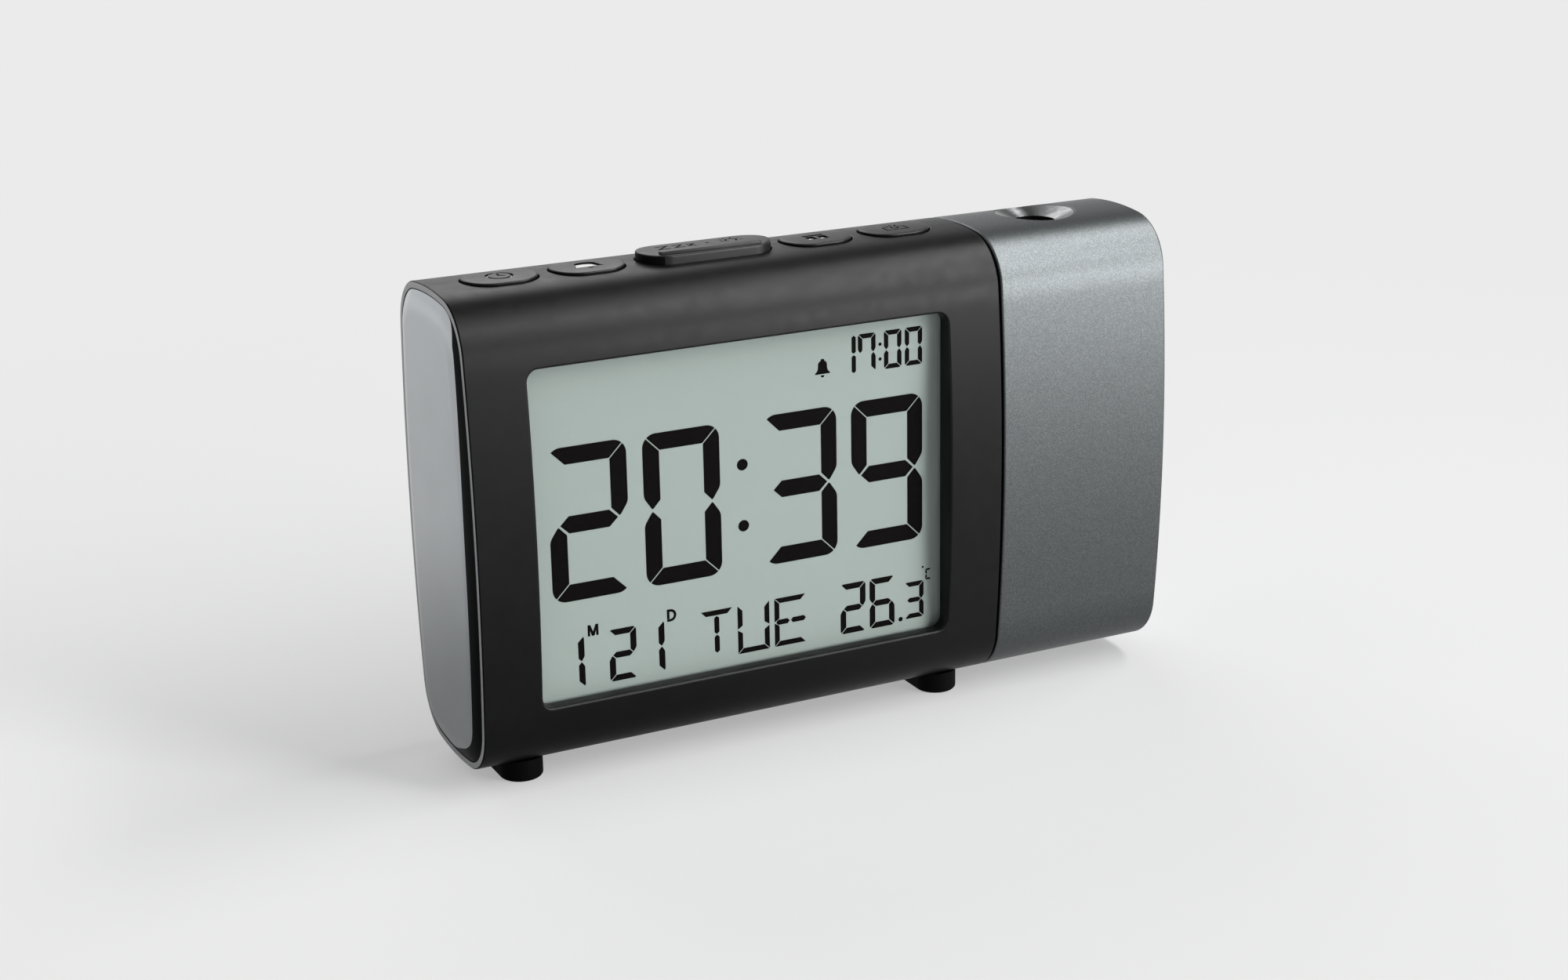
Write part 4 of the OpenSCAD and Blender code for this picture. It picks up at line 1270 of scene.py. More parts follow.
@dataclass(frozen=True)
class EndDome:
    """Glossy domed end panel; the black band along its front and lower edge is a painted dark reflection.

    Attributes:
        name: Name of the piece.
        node: Part of the frame that it stands for.
        at: Where the end face lies along the clock.
        side: -1 for the left end and 1 for the right end.
        wall: Wall of the shell behind it.
        rise: Height of the dome.
        band: Width of its rounded edge.
        slack: Gap to the shell.
        black: Greatest width of the black band, a painted dark reflection.
        thread: Width that the band keeps all round.
        shares: Shares of the width that come in along the two runs.
        top_run: Distances below the middle between which the first share comes in.
        front_run: The same for the second share.
        low_fade: Distances behind the middle plane between which the band ends in the lower half.
        high_fade: The same in the upper half.
        painted_band_steps: Steps across the black band, which is a painted dark reflection.
        grey_steps: Steps from there to the flat middle.
        tuck: How far the panel's back reaches past the shell's wall.
    """

    name: str
    node: str
    body: Body
    at: float
    side: int
    wall: float
    rise: float = 0.9
    band: float = 4.0
    slack: float = 0.05
    black: float = 2.45
    thread: float = 0.03
    shares: Point2 = (0.55, 0.45)
    top_run: Point2 = (-37.8, -33.0)
    front_run: Point2 = (-38.0, 4.0)
    low_fade: Point2 = (-10.0, 3.0)
    high_fade: Point2 = (-9.5, -8.0)
    painted_band_steps: int = 8
    grey_steps: int = 14
    tuck: float = 1.3

    def painted_band_width(self, y: float, z: float) -> float:
        """Gives the width of the black band, a painted dark reflection, at a point of the outline.

        Args:
            y: Distance behind the middle plane.
            z: Height above the middle.

        Returns:
            The width.
        """
        start = self.shares[0] * smooth_step(-z, *self.top_run)
        growth = self.shares[1] * smooth_step(-z, *self.front_run)
        to_the_back = smooth_step(y, *(self.low_fade if z < 0 else self.high_fade))
        return self.thread + self.black * (start + growth) * (1 - to_the_back)

    def height(self, inset: float) -> float:
        """Gives the dome's height above its edge.

        Args:
            inset: Distance inside the edge.

        Returns:
            The height.
        """
        reach = (self.band**2 + self.rise**2) / (2 * self.rise)
        inside = min(inset, self.band)
        return self.rise - reach + math.sqrt(reach**2 - (self.band - inside) ** 2)

    def ring(self, depth: float, inset: float) -> list[Point3]:
        """Gives a ring at a depth inside the end face."""
        return [(self.at - self.side * depth, y, z) for y, z in SECTION.contour(inset)]

    def dome_ring(self, share: float, outside: bool) -> list[Point3]:
        """Gives a ring on the dome.

        Args:
            share: Where it lies: from the edge (0) to the black band's inner line (1), or from there
                to the flat middle (1).
            outside: True for a ring in the black band of painted dark reflection.

        Returns:
            Its points.
        """
        edge = RIM_WALL + self.slack
        points = []
        for (y, z), (inner_y, inner_z) in zip(SECTION.contour(edge), SECTION.contour(edge + 1)):
            width = self.painted_band_width(y, z)
            inset = width * share if outside else width + (self.band - width) * share
            along = self.at + self.side * (self.height(inset) - self.slack)
            points.append((along, y + (inner_y - y) * inset, z + (inner_z - z) * inset))
        return points

    def build(self, dresser: Dresser) -> None:
        """Makes the panel and dresses it.

        Args:
            dresser: Gives the finishes.
        """
        seat = PANEL_SEAT - self.slack
        rings = [self.ring(seat, self.wall + self.tuck), self.ring(seat, RIM_WALL + self.slack)]
        rings += [self.dome_ring(k / self.painted_band_steps, True) for k in range(self.painted_band_steps + 1)]
        rings += [self.dome_ring(k / self.grey_steps, False) for k in range(1, self.grey_steps + 1)]
        # the black band's zone is a painted dark reflection along the dome's front and lower edge
        zones = [0] + [1] * (self.painted_band_steps + 1) + [0] * self.grey_steps
        draft = MeshDraft()
        draft.loft(rings, zones=zones, striped=False)
        piece = draft.piece(self.name, smooth=50.0)
        dresser.fit(piece, self.body, [Finish.END_GREY, Finish.DARK_REFLECTION], [self.node])


# ---- display ----


@dataclass(frozen=True)
class SegmentDigit:
    """Seven-segment figure with mitred ends and round outer corners.

    Attributes:
        upright: Thickness of the upright segments.
        level: Thickness of the level segments.
        corner: Radius of the outer corners.
        gap: Gap between segments.
        LIT: Lit segments of each figure, named as usual from a at the top to g in the middle.
    """

    width: float
    height: float
    upright: float
    level: float
    corner: float
    gap: float

    LIT: ClassVar[dict[str, str]] = {
        "0": "abcdef",
        "1": "bc",
        "2": "abdeg",
        "3": "abcdg",
        "6": "acdefg",
        "7": "abcf",
        "9": "abcdfg",
        "C": "adef",
    }

    @property
    def shift(self) -> float:
        """Half the gap, measured along an axis across a mitre."""
        return self.gap * math.sqrt(0.5)

    @property
    def step(self) -> float:
        """Unit of the inner ends' outlines, of which an upright segment is 2.95 thick."""
        return self.upright / 2.95

    def quarter(self, level: bool) -> list[Point2]:
        """Outline of a segment's mitred end at the upper left corner.

        Args:
            level: True for the level segment's end, False for the upright's.

        Returns:
            Points (from the left edge, from the top edge), from the outer side to the inner side.
        """
        turn = math.degrees(math.asin(self.shift / (self.corner * math.sqrt(2))))
        first, last = (45 + turn, 90.0) if level else (45 - turn, 0.0)
        points = []
        steps = 6
        for i in range(steps + 1):
            angle = math.radians(last + (first - last) * i / steps)
            points.append((self.corner * (1 - math.cos(angle)), self.corner * (1 - math.sin(angle))))
        if level:
            return points + [(self.level + self.shift, self.level)]
        return points + [(self.upright, self.upright + self.shift)]

    def top(self) -> list[Point2]:
        """Outline of the top segment, from the upper left corner of the figure."""
        end = self.quarter(True)
        return end + [(self.width - x, y) for x, y in reversed(end)]

    def upper_left(self) -> list[Point2]:
        """Gives the upper left segment.

        Returns:
            Its outline.
        """
        half, step = self.height / 2, self.step
        inner, tip, outer = 1.7 * step, 0.25 * step, 2.9 * step
        tip_x = self.upright * 0.512
        end = [
            (self.upright, half - inner),
            (tip_x + 0.12 * step, half - tip - 0.05 * step),
            (tip_x, half - tip),
            (tip_x - 0.22 * step, half - tip - 0.16 * step),
            (0.26 * step, half - outer + 0.95 * step),
            (0.06 * step, half - outer + 0.45 * step),
            (0.0, half - outer),
        ]
        return self.quarter(False) + end

    def middle(self) -> list[Point2]:
        """Gives the middle segment.

        Returns:
            Its outline.
        """
        half, rise = self.height / 2, self.level / 2
        tip, shoulder = 1.83 * self.step, 3.35 * self.step
        left = [(shoulder, half - rise), (tip, half), (shoulder, half + rise)]
        return left + [(self.width - x, y) for x, y in reversed(left)]

    def outlines(self, figure: str) -> list[list[Point2]]:
        """Gives the outlines of a figure's lit segments.

        Args:
            figure: The figure.

        Returns:
            Outlines (from the left edge, from the top edge).
        """

        def flip(points: list[Point2], sideways: bool, over: bool) -> list[Point2]:
            """Mirrors an outline about the figure's middle lines."""
            return [
                (self.width - x if sideways else x, self.height - y if over else y) for x, y in points
            ]

        shapes = {
            "a": self.top(),
            "b": flip(self.upper_left(), True, False),
            "c": flip(self.upper_left(), True, True),
            "d": flip(self.top(), False, True),
            "e": flip(self.upper_left(), False, True),
            "f": self.upper_left(),
            "g": self.middle(),
        }
        return [shapes[letter] for letter in self.LIT[figure]]


@dataclass(frozen=True)
class SegmentLetter:
    """Capital letter of straight segments with slanted ends, as in the day of the week.

    Attributes:
        bar: Thickness of its segments.
        gap: Gap between segments.
    """

    width: float = 5.95
    height: float = 8.7
    bar: float = 0.92
    gap: float = 0.12

    def level(self) -> list[Point2]:
        """Gives the top segment.

        Returns:
            Its outline, from the upper left corner of the letter.
        """
        cut = self.gap * math.sqrt(0.5)
        inner = self.bar + cut
        return [(cut, 0.0), (self.width - cut, 0.0), (self.width - inner, self.bar), (inner, self.bar)]

    def upright(self) -> list[Point2]:
        """Gives the upper left segment.

        Returns:
            Its outline.
        """
        cut = self.gap * math.sqrt(0.5)
        tip = self.height / 2 - cut
        return [(0.0, cut), (self.bar, self.bar + cut), (self.bar, tip - 0.65 * self.bar), (0.0, tip)]

    def hexagon(self, start: Point2, end: Point2) -> list[Point2]:
        """Gives a segment with pointed ends, upright or level.

        Args:
            start: Its first end, from the upper left corner of the letter.
            end: Its other end.

        Returns:
            Its outline.
        """
        half, point = self.bar / 2, 0.42 * self.bar
        (x0, y0), (x1, y1) = start, end
        if x0 == x1:
            right = [(x0 + half, y0 + point), (x0 + half, y1 - point), end]
            return [start, *right, (x0 - half, y1 - point), (x0 - half, y0 + point)]
        lower = [(x0 + point, y0 + half), (x1 - point, y0 + half), end]
        return [start, *lower, (x1 - point, y0 - half), (x0 + point, y0 - half)]

    def outlines(self, letter: str) -> list[list[Point2]]:
        """Gives the outlines of a letter's segments.

        Args:
            letter: T, U or E.

        Returns:
            Outlines (from the left edge, from the top edge).
        """
        middle, centre = self.height / 2, self.width / 2
        top, left = self.level(), self.upright()
        bottom = [(x, self.height - y) for x, y in top]
        lower_left = [(x, self.height - y) for x, y in left]
        if letter == "T":
            low = self.height - self.bar - self.gap
            stem = [(self.bar + self.gap, middle - self.gap / 2), (middle + self.gap / 2, low)]
            return [top] + [self.hexagon((centre, y0), (centre, y1)) for y0, y1 in stem]
        if letter == "U":
            right = [[(self.width - x, y) for x, y in part] for part in (left, lower_left)]
            return [left, lower_left, bottom, *right]
        inset, slot = 0.3 * self.bar, self.gap
        ends = [(inset, centre - slot), (centre + slot, self.width)]
        parts = [self.hexagon((x0, middle), (x1, middle)) for x0, x1 in ends]
        return [top, left, lower_left, bottom, *parts]


@dataclass
class DisplayMarks:
    """All dark marks of the display, as thin films on its glass.

    Attributes:
        face: Depth of the glass's front face.
        film: Thickness of the marks.
        large: Figures of the time.
        date: Figures of the date and the temperature.
        alarm: Figures of the alarm time.
        small: Figure after the temperature's point.
        tiny: The temperature's unit.
    """

    face: float = -12.10
    film: float = 0.02
    draft: MeshDraft = field(default_factory=MeshDraft)
    large: SegmentDigit = SegmentDigit(13.75, 26.14, 2.95, 2.92, 2.4, 0.18)
    date: SegmentDigit = SegmentDigit(4.9, 9.1, 1.09, 1.06, 0.7, 0.14)
    alarm: SegmentDigit = SegmentDigit(3.36, 6.65, 0.84, 0.82, 0.55, 0.12)
    small: SegmentDigit = SegmentDigit(3.8, 6.7, 0.88, 0.85, 0.55, 0.12)
    letter: SegmentLetter = SegmentLetter()
    tiny: SegmentDigit = SegmentDigit(1.15, 2.0, 0.3, 0.3, 0.16, 0.05)

    def mark(self, outline: Sequence[Point2]) -> None:
        """Adds one mark.

        Args:
            outline: Its outline, along and up.
        """
        near, far = self.face - self.film, self.face + self.film / 2
        self.draft.prism(outline, lambda s, z, back: (s, far if back else near, z))

    def figure(self, kind: SegmentDigit, text: str, left: float, top: float) -> None:
        """Adds a figure.

        Args:
            kind: Its segments' sizes.
            text: The figure.
            left: Left edge along the clock.
            top: Height of its top edge.
        """
        for outline in kind.outlines(text):
            self.mark([(left + x, top - y) for x, y in outline])

    def dot(self, s: float, z: float, radius: float) -> None:
        """Adds a round dot."""
        self.mark(arc((s, z), radius, 0, 360, steps=24)[:-1])

    def bar(self, left: float, right: float, low: float, high: float, point: float) -> None:
        """Adds an upright bar with pointed ends.

        Args:
            left: Left edge.
            right: Right edge.
            low: Lower edge.
            high: Upper edge.
            point: Length of the points.
        """
        mid = (left + right) / 2
        outline = [(left, low + point), (mid, low), (right, low + point), (right, high - point)]
        self.mark(outline + [(mid, high), (left, high - point)])

    def time(self) -> None:
        """Adds the time."""
        top = 14.24
        for text, left in (("2", 13.95), ("0", 30.5), ("3", 52.2), ("9", 68.75)):
            self.figure(self.large, text, left, top)
        for z in (6.52, -4.12):
            self.dot(48.35, z, 1.0)

    def day(self) -> None:
        """Adds the date and the day of the week."""
        top = -18.1
        for text, left in (("1", 14.1), ("2", 23.35), ("1", 28.44)):
            self.figure(self.date, text, left, top)
        foot, height = -18.5, 1.95
        self.mark([(20.65 + x, foot + y) for x, y in self.letter_m(height)])
        bow = list(arc((34.5, -17.5), 0.86, 90, -90, 10))
        self.mark(ribbon([(34.12, -18.1), (34.12, -16.64)] + bow + [(33.9, -18.36)], 0.46))
        for text, left in (("T", 39.95), ("U", 46.8), ("E", 53.72)):
            for outline in self.letter.outlines(text):
                self.mark([(left + x, top - y) for x, y in outline])

    @staticmethod
    def letter_m(height: float) -> list[Point2]:
        """Gives the month's letter.

        Args:
            height: Its height.

        Returns:
            Its outline, about its middle and from its foot.
        """
        half = [(0.95, 0.0), (0.95, height), (0.45, height), (0.0, 0.75)]
        right = [(0.24, 0.0), (0.53, 0.95), (0.53, 0.0)]
        outline = right + half
        return outline + [(-x, y) for x, y in reversed(outline[:-1])]

    def warmth(self) -> None:
        """Adds the temperature."""
        self.figure(self.date, "2", 66.35, -17.85)
        self.figure(self.date, "6", 72.05, -17.85)
        self.dot(78.15, -26.25, 0.42)
        self.figure(self.small, "3", 78.95, -19.75)
        self.dot(82.58, -17.36, 0.2)
        self.figure(self.tiny, "C", 83.1, -17.8)

    def wake_time(self) -> None:
        """Adds the bell and the alarm time."""
        low, high = 19.2, 25.85
        mid = (low + high) / 2
        for start, end in ((low + 0.1, mid - 0.12), (mid + 0.12, high - 0.1)):
            self.bar(69.0, 69.8, start, end, 0.3)
        self.figure(self.alarm, "7", 70.2, high)
        for z in (23.65, 21.08):
            self.dot(74.4, z, 0.3)
        for left in (75.15, 79.15):
            self.figure(self.alarm, "0", left, high)
        self.bell(63.5, 19.35, 3.2, 2.8)

    def bell(self, s: float, foot: float, height: float, width: float) -> None:
        """Adds a bell.

        Args:
            s: Its middle along the clock.
            foot: Height of its lower end.
            height: Its height.
            width: Its width.
        """
        half = [(0.0, 1.0), (0.1, 0.99), (0.13, 0.93), (0.11, 0.9), (0.2, 0.87), (0.27, 0.8), (0.3, 0.7)]
        half += [(0.31, 0.5), (0.35, 0.38), (0.44, 0.29), (0.5, 0.25), (0.5, 0.19)]
        right = [(s + x * width, foot + z * height) for x, z in half]
        left = [(2 * s - x, z) for x, z in reversed(right[1:])]
        self.mark(right + left)
        self.mark(arc((s, foot + 0.12 * height), 0.13 * width, 180, 360, 10))

    def build(self, dresser: Dresser) -> None:
        """Makes all marks as one piece.

        Args:
            dresser: Gives the finishes.
        """
        self.time()
        self.day()
        self.warmth()
        self.wake_time()
        piece = self.draft.piece("display_marks", smooth=30.0)
        dresser.fit(piece, Body.CASE, [Finish.INK])


def ribbon(path: Sequence[Point2], width: float) -> list[Point2]:
    """Outline of a line of even width with mitred bends.

    Args:
        path: The line's points.
        width: Its width.

    Returns:
        The closed outline.
    """
    half = width / 2
    left: list[Point2] = []
    right: list[Point2] = []
    for i, (x, y) in enumerate(path):
        before = path[max(i - 1, 0)]
        after = path[min(i + 1, len(path) - 1)]
        into = Vector((x - before[0], y - before[1])) if i else Vector((after[0] - x, after[1] - y))
        out = Vector((after[0] - x, after[1] - y)) if i < len(path) - 1 else into
        into.normalize()
        out.normalize()
        across = Vector((-into.y - out.y, into.x + out.x)).normalized()
        least = 0.35  # keeps a sharp bend's corner from running far out
        reach = half / max(least, across.dot(Vector((-into.y, into.x))))
        left.append((x + across.x * reach, y + across.y * reach))
        right.append((x - across.x * reach, y - across.y * reach))
    return left + right[::-1]


# ---- keys ----


@dataclass(frozen=True)
class KeyMark:
    """What is engraved in a key.

    Attributes:
        lines: Paths with their widths.
        pits: Outlines that are sunk.
    """

    lines: tuple[tuple[tuple[Point2, ...], float], ...] = ()
    pits: tuple[tuple[Point2, ...], ...] = ()

    def outlines(self) -> list[list[Point2]]:
        """Outlines of everything that is sunk."""
        return [ribbon(path, width) for path, width in self.lines] + [list(pit) for pit in self.pits]


def bend(middle: Point2, radius: float, start: float, end: float) -> tuple[Point2, ...]:
    """Points of an arc, for a mark."""
    return tuple(arc(middle, radius, start, end, steps=24))


def clock_mark() -> KeyMark:
    """A clock face with two hands."""
    hands = ((0.0, 1.2), (0.0, 0.0), (0.95, -0.35))
    return KeyMark(lines=((bend((0, 0), 2.05, 95, 445), 0.5), (hands, 0.42)))


def bell_mark() -> KeyMark:
    """A bell with its clapper.

    Returns:
        What is engraved.
    """
    half = ((0.0, 2.1), (1.1, 1.9), (1.75, 1.3), (1.95, 0.2), (2.1, -0.6), (2.5, -1.3))
    left = tuple((-x, y) for x, y in half[:0:-1])
    return KeyMark(pits=(left + half, bend((0, -1.55), 0.6, 185, 355)))


def calendar_mark() -> KeyMark:
    """A calendar sheet with its binding and two fields.

    Returns:
        What is engraved.
    """
    binding = ((-1.9, 0.75), (1.9, 0.75), (1.9, 1.6), (-1.9, 1.6))
    fields = [((x, -1.6), (x + 1.55, -1.6), (x + 1.55, 0.4), (x, 0.4)) for x in (-1.9, 0.35)]
    return KeyMark(pits=(binding, *fields))


def beam_mark() -> KeyMark:
    """A projector with its beam.

    Returns:
        What is engraved.
    """
    body = ((-0.75, 0.3), (-2.0, 0.3), (-2.0, -1.7), (2.0, -1.7), (2.0, 0.3), (0.75, 0.3))
    rays = (((0.0, 0.75), (0.0, 1.9)), ((-0.6, 0.7), (-1.2, 1.7)), ((0.6, 0.7), (1.2, 1.7)))
    thin = [(ray, 0.3) for ray in (*rays, bend((0, -0.35), 0.6, 95, 445))]
    return KeyMark(lines=((body, 0.32), *thin))


def snooze_mark() -> KeyMark:
    """Three z figures, a dot, and a lamp with rays.

    Returns:
        What is engraved.
    """
    lines: list[tuple[tuple[Point2, ...], float]] = []
    for left, size in ((-7.9, 2.1), (-4.9, 1.7), (-2.4, 1.3)):
        right, low, high = left + size, 1.0 - size / 2, 1.0 + size / 2
        lines.append((((left, high), (right, high), (left, low), (right, low)), 0.38))
    lamp = (5.5, 1.0)
    lines.append((bend(lamp, 0.95, -50, 230), 0.34))
    for turn in range(-10, 200, 40):
        across, up = math.cos(math.radians(turn)), math.sin(math.radians(turn))
        ray = tuple((lamp[0] + across * reach, lamp[1] + up * reach) for reach in (1.45, 2.1))
        lines.append((ray, 0.32))
    return KeyMark(lines=tuple(lines), pits=(bend((1.15, 1.0), 0.3, 0, 345),))


@dataclass(frozen=True)
class KeyCap:
    """A slot-shaped key cap with a crowned top, a soft edge and a lip inside the case.

    Attributes:
        name: Name of the body and the frame's part.
        middle: Its middle along the clock.
        proud: Its height above the crown.
        mark: What it shows.
        bar: True where it has a raised bar.
        lip: How far the lip stands out.
        deeper: How much deeper each mark is than the one before.
        crown_steps: Steps from the top edge to the middle line.
        ridge: How near to the middle line the last of them comes.
        bar_y: Distance of the raised bar behind the middle plane.
        bar_rise: How far it stands above the cap's middle line.
        bar_depth: How far it goes down from there.
    """

    name: str
    body: Body
    middle: float
    length: float
    width: float
    proud: float
    mark: KeyMark
    bar: bool = False
    edge: float = 0.3
    foot: float = 36.75
    lip: float = 0.8
    lip_t: float = 0.75
    engraved: float = 0.35
    deeper: float = 0.003
    crown_steps: int = 6
    ridge: float = 0.15
    smooth: float = 40.0
    bar_outline: RoundedOutline = RoundedOutline(18.2, 1.25, 0.2, 4)
    bar_y: float = -2.775
    bar_rise: float = 0.35
    bar_depth: float = 1.2
    bar_edge: EdgeRound = EdgeRound(0.15, 4)

    def outline(self, grow: float = 0.0) -> RoundedOutline:
        """Outline of the cap, grown by a gap."""
        length, width = self.length + 2 * grow, self.width + 2 * grow
        return RoundedOutline(length, width, self.width / 2 + grow, steps=14)

    def top(self, y: float) -> float:
        """Height of the cap's top surface."""
        return SECTION.crown_z(y, self.proud)

    def build(self, dresser: Dresser) -> None:
        """Makes the cap with its marks and dresses it.

        Args:
            dresser: Gives the finishes.
        """
        outline = self.outline()
        at = (self.middle, 0.0)

        def level(grow: float, z: float) -> list[Point3]:
            """Ring at an even height."""
            return [(s, y, z) for s, y in outline.points(at, grow)]

        def crowned(grow: float, drop: float) -> list[Point3]:
            """Ring that follows the crowned top."""
            return [(s, y, self.top(y) - drop) for s, y in outline.points(at, grow)]

        ledge = self.foot + self.lip_t
        rings = [level(self.lip, self.foot), level(self.lip, ledge), level(0.0, ledge)]
        for d, inset in reversed(EdgeRound(self.edge, steps=6).depths()):
            rings.append(crowned(-inset, d))
        run, steps = self.width / 2 - self.edge - self.ridge, self.crown_steps
        rings += [crowned(-self.edge - run * k / steps, 0.0) for k in range(1, steps + 1)]
        piece = lofted(rings).piece(f"{self.name}_cap", self.smooth)
        carve(piece, self.engraving(), self.smooth)
        finishes = [Finish.KEY, Finish.KEY_FILL, Finish.KEY_WALL_SHADE]
        dresser.fit(piece, self.body, finishes, [self.name])
        give_zone(piece, finishes.index(Finish.KEY_FILL), self.in_mark)
        # the side walls are painted darker as shade in the gaps round the key
        give_zone(piece, finishes.index(Finish.KEY_WALL_SHADE), self.on_shaded_wall)
        if self.bar:
            self.build_bar(dresser)

    def in_mark(self, at: Vector, out: Vector) -> bool:
        """Says whether a face is the floor of a mark."""
        level, least, most = 0.95, 0.1, 1.0
        return out.z > level and least < self.top(at.y) - at.z < most

    def on_shaded_wall(self, at: Vector, out: Vector) -> bool:
        """Says whether a face is on the wall painted dark as shade in the gap: all round, or at the left of
        the key with the bar.
        """
        steep, furthest = 0.5, -0.3 if self.bar else 1.0
        return abs(out.z) < steep and out.x <= furthest

    def engraving(self) -> list[MeshDraft]:
        """Makes the cutters of the key's mark, each a little deeper than the last.

        Returns:
            Closed drafts.
        """
        above = 1.0
        drafts = []
        for i, outline in enumerate(self.mark.outlines()):
            low = self.top(0.0) - self.engraved - self.deeper * i
            high = self.top(0.0) + above
            draft = MeshDraft()
            draft.prism(
                [(self.middle + u, v) for u, v in outline],
                lambda s, y, far: (s, y, high if far else low),
            )
            drafts.append(draft)
        return drafts

    def build_bar(self, dresser: Dresser) -> None:
        """Makes the raised bar along the front of the cap.

        Args:
            dresser: Gives the finishes.
        """
        at = (self.middle, self.bar_y)
        high = SECTION.height / 2 + self.proud + self.bar_rise
        rings = [[(s, y, high - self.bar_depth) for s, y in self.bar_outline.points(at)]]
        for d, inset in reversed(self.bar_edge.depths()):
            rings.append([(s, y, high - d) for s, y in self.bar_outline.points(at, -inset)])
        piece = lofted(rings).piece(f"{self.name}_bar", self.smooth)
        dresser.fit(piece, self.body, [Finish.KEY])


@dataclass(frozen=True)
class KeyRow:
    """The five keys along the top.

    Attributes:
        inner_pitch: Distance of the second and fourth key from the middle one.
        outer_pitch: The same for the first and last key.
        small: Length, width and rise of a small key; large is the middle one.
    """

    inner_pitch: float = 20.8
    outer_pitch: float = 35.85
    small: Point3 = (12.6, 9.2, 0.4)
    large: Point3 = (23.8, 9.2, 1.4)

    def caps(self) -> list[KeyCap]:
        """Gives the caps.

        Returns:
            They, from left to right.
        """
        rows = (
            ("time_key", Body.TIME_KEY, -self.outer_pitch, self.small, clock_mark()),
            ("alarm_key", Body.ALARM_KEY, -self.inner_pitch, self.small, bell_mark()),
            ("snooze_key", Body.SNOOZE_KEY, 0.0, self.large, snooze_mark()),
            ("calendar_key", Body.CALENDAR_KEY, self.inner_pitch, self.small, calendar_mark()),
            ("projector_key", Body.PROJECTOR_KEY, self.outer_pitch, self.small, beam_mark()),
        )
        return [
            KeyCap(name, body, CASE_MIDDLE + off, *size, mark, bar=size == self.large)
            for name, body, off, size, mark in rows
        ]


# ---- feet, door, head ----


@dataclass(frozen=True)
class Foot:
    """Rubber foot with a soft lower edge.

    Attributes:
        middle: Its middle along the clock.
        width: Its width along the clock.
        drop: How far it stands out below the case.
        sunk: How far it goes into the case.
    """

    name: str
    middle: float
    width: float = 7.4
    length: float = 21.2
    drop: float = 2.6
    edge: EdgeRound = EdgeRound(0.55)
    sunk: float = 0.15

    def build(self, dresser: Dresser) -> None:
        """Makes the foot and dresses it.

        Args:
            dresser: Gives the finishes.
        """
        outline = RoundedOutline(self.width, self.length, self.width / 2, steps=14)
        at = (self.middle, 0.0)
        low = -SECTION.height / 2 - self.drop
        rings = []
        for d, inset in self.edge.depths():
            rings.append([(s, y, low + d) for s, y in outline.points(at, -inset)])
        rings.append([(s, y, -SECTION.crown_z(y) + self.sunk) for s, y in outline.points(at)])
        piece = lofted(rings).piece(f"{self.name}_pad", smooth=40.0)
        dresser.fit(piece, Body.CASE, [Finish.RUBBER], [self.name])


@dataclass(frozen=True)
class BatteryDoor:
    """Door over the cells: bowed like the back, with a finger groove and grip lines.

    Attributes:
        groove_z: Height of the finger groove.
        groove: Its shape.
        lines: Number of grip lines.
        line_taper: How much shorter each line is than the one above.
        line_drop: Distance of the first line below the groove.
        line_pitch: Spacing of the lines.
    """

    middle: float = 39.95
    outline: RoundedOutline = RoundedOutline(55.5, 26.2, 2.75)
    thickness: float = 1.4
    edge: EdgeRound = EdgeRound(0.25, 4)
    groove_z: float = 10.1
    groove: RoundedOutline = RoundedOutline(10.0, 1.2, 0.55, 5)
    groove_depth: float = 0.7
    lines: int = 4
    line_length: float = 12.0
    line_taper: float = 1.5
    line_width: float = 0.6
    line_round: float = 0.28
    line_drop: float = 2.0
    line_pitch: float = 1.4
    line_depth: float = 0.25

    def build(self, dresser: Dresser) -> None:
        """Makes the door and dresses it.

        Args:
            dresser: Gives the finishes.
        """
        at = (self.middle, 0.0)
        rings = [[(s, SECTION.side_y(z) - self.thickness, z) for s, z in self.outline.points(at)]]
        for d, inset in reversed(self.edge.depths()):
            rings.append([(s, SECTION.side_y(z) - d, z) for s, z in self.outline.points(at, -inset)])
        piece = lofted(rings).piece("door_panel")
        cutters = [self.groove_cutter(self.groove, self.groove_z, self.groove_depth)]
        for k in range(self.lines):
            length = self.line_length - self.line_taper * k
            line = RoundedOutline(length, self.line_width, self.line_round, steps=4)
            z = self.groove_z - self.line_drop - self.line_pitch * k
            cutters.append(self.groove_cutter(line, z, self.line_depth))
        carve(piece, cutters)
        dresser.fit(piece, Body.DOOR, [Finish.CASE], ["battery_door"])

    def groove_cutter(self, outline: RoundedOutline, z: float, depth: float) -> MeshDraft:
        """Makes the cutter of a groove in the door's face, a little wider at the outside.

        Args:
            outline: The groove's shape.
            z: Height of its middle.
            depth: Its depth.

        Returns:
            The closed draft.
        """
        above, wider = 0.5, 0.05
        rings = [
            [(s, SECTION.side_y(h) + rise, h) for s, h in outline.points((self.middle, z), grow)]
            for rise, grow in ((-depth, 0.0), (above, wider))
        ]
        return lofted(rings)


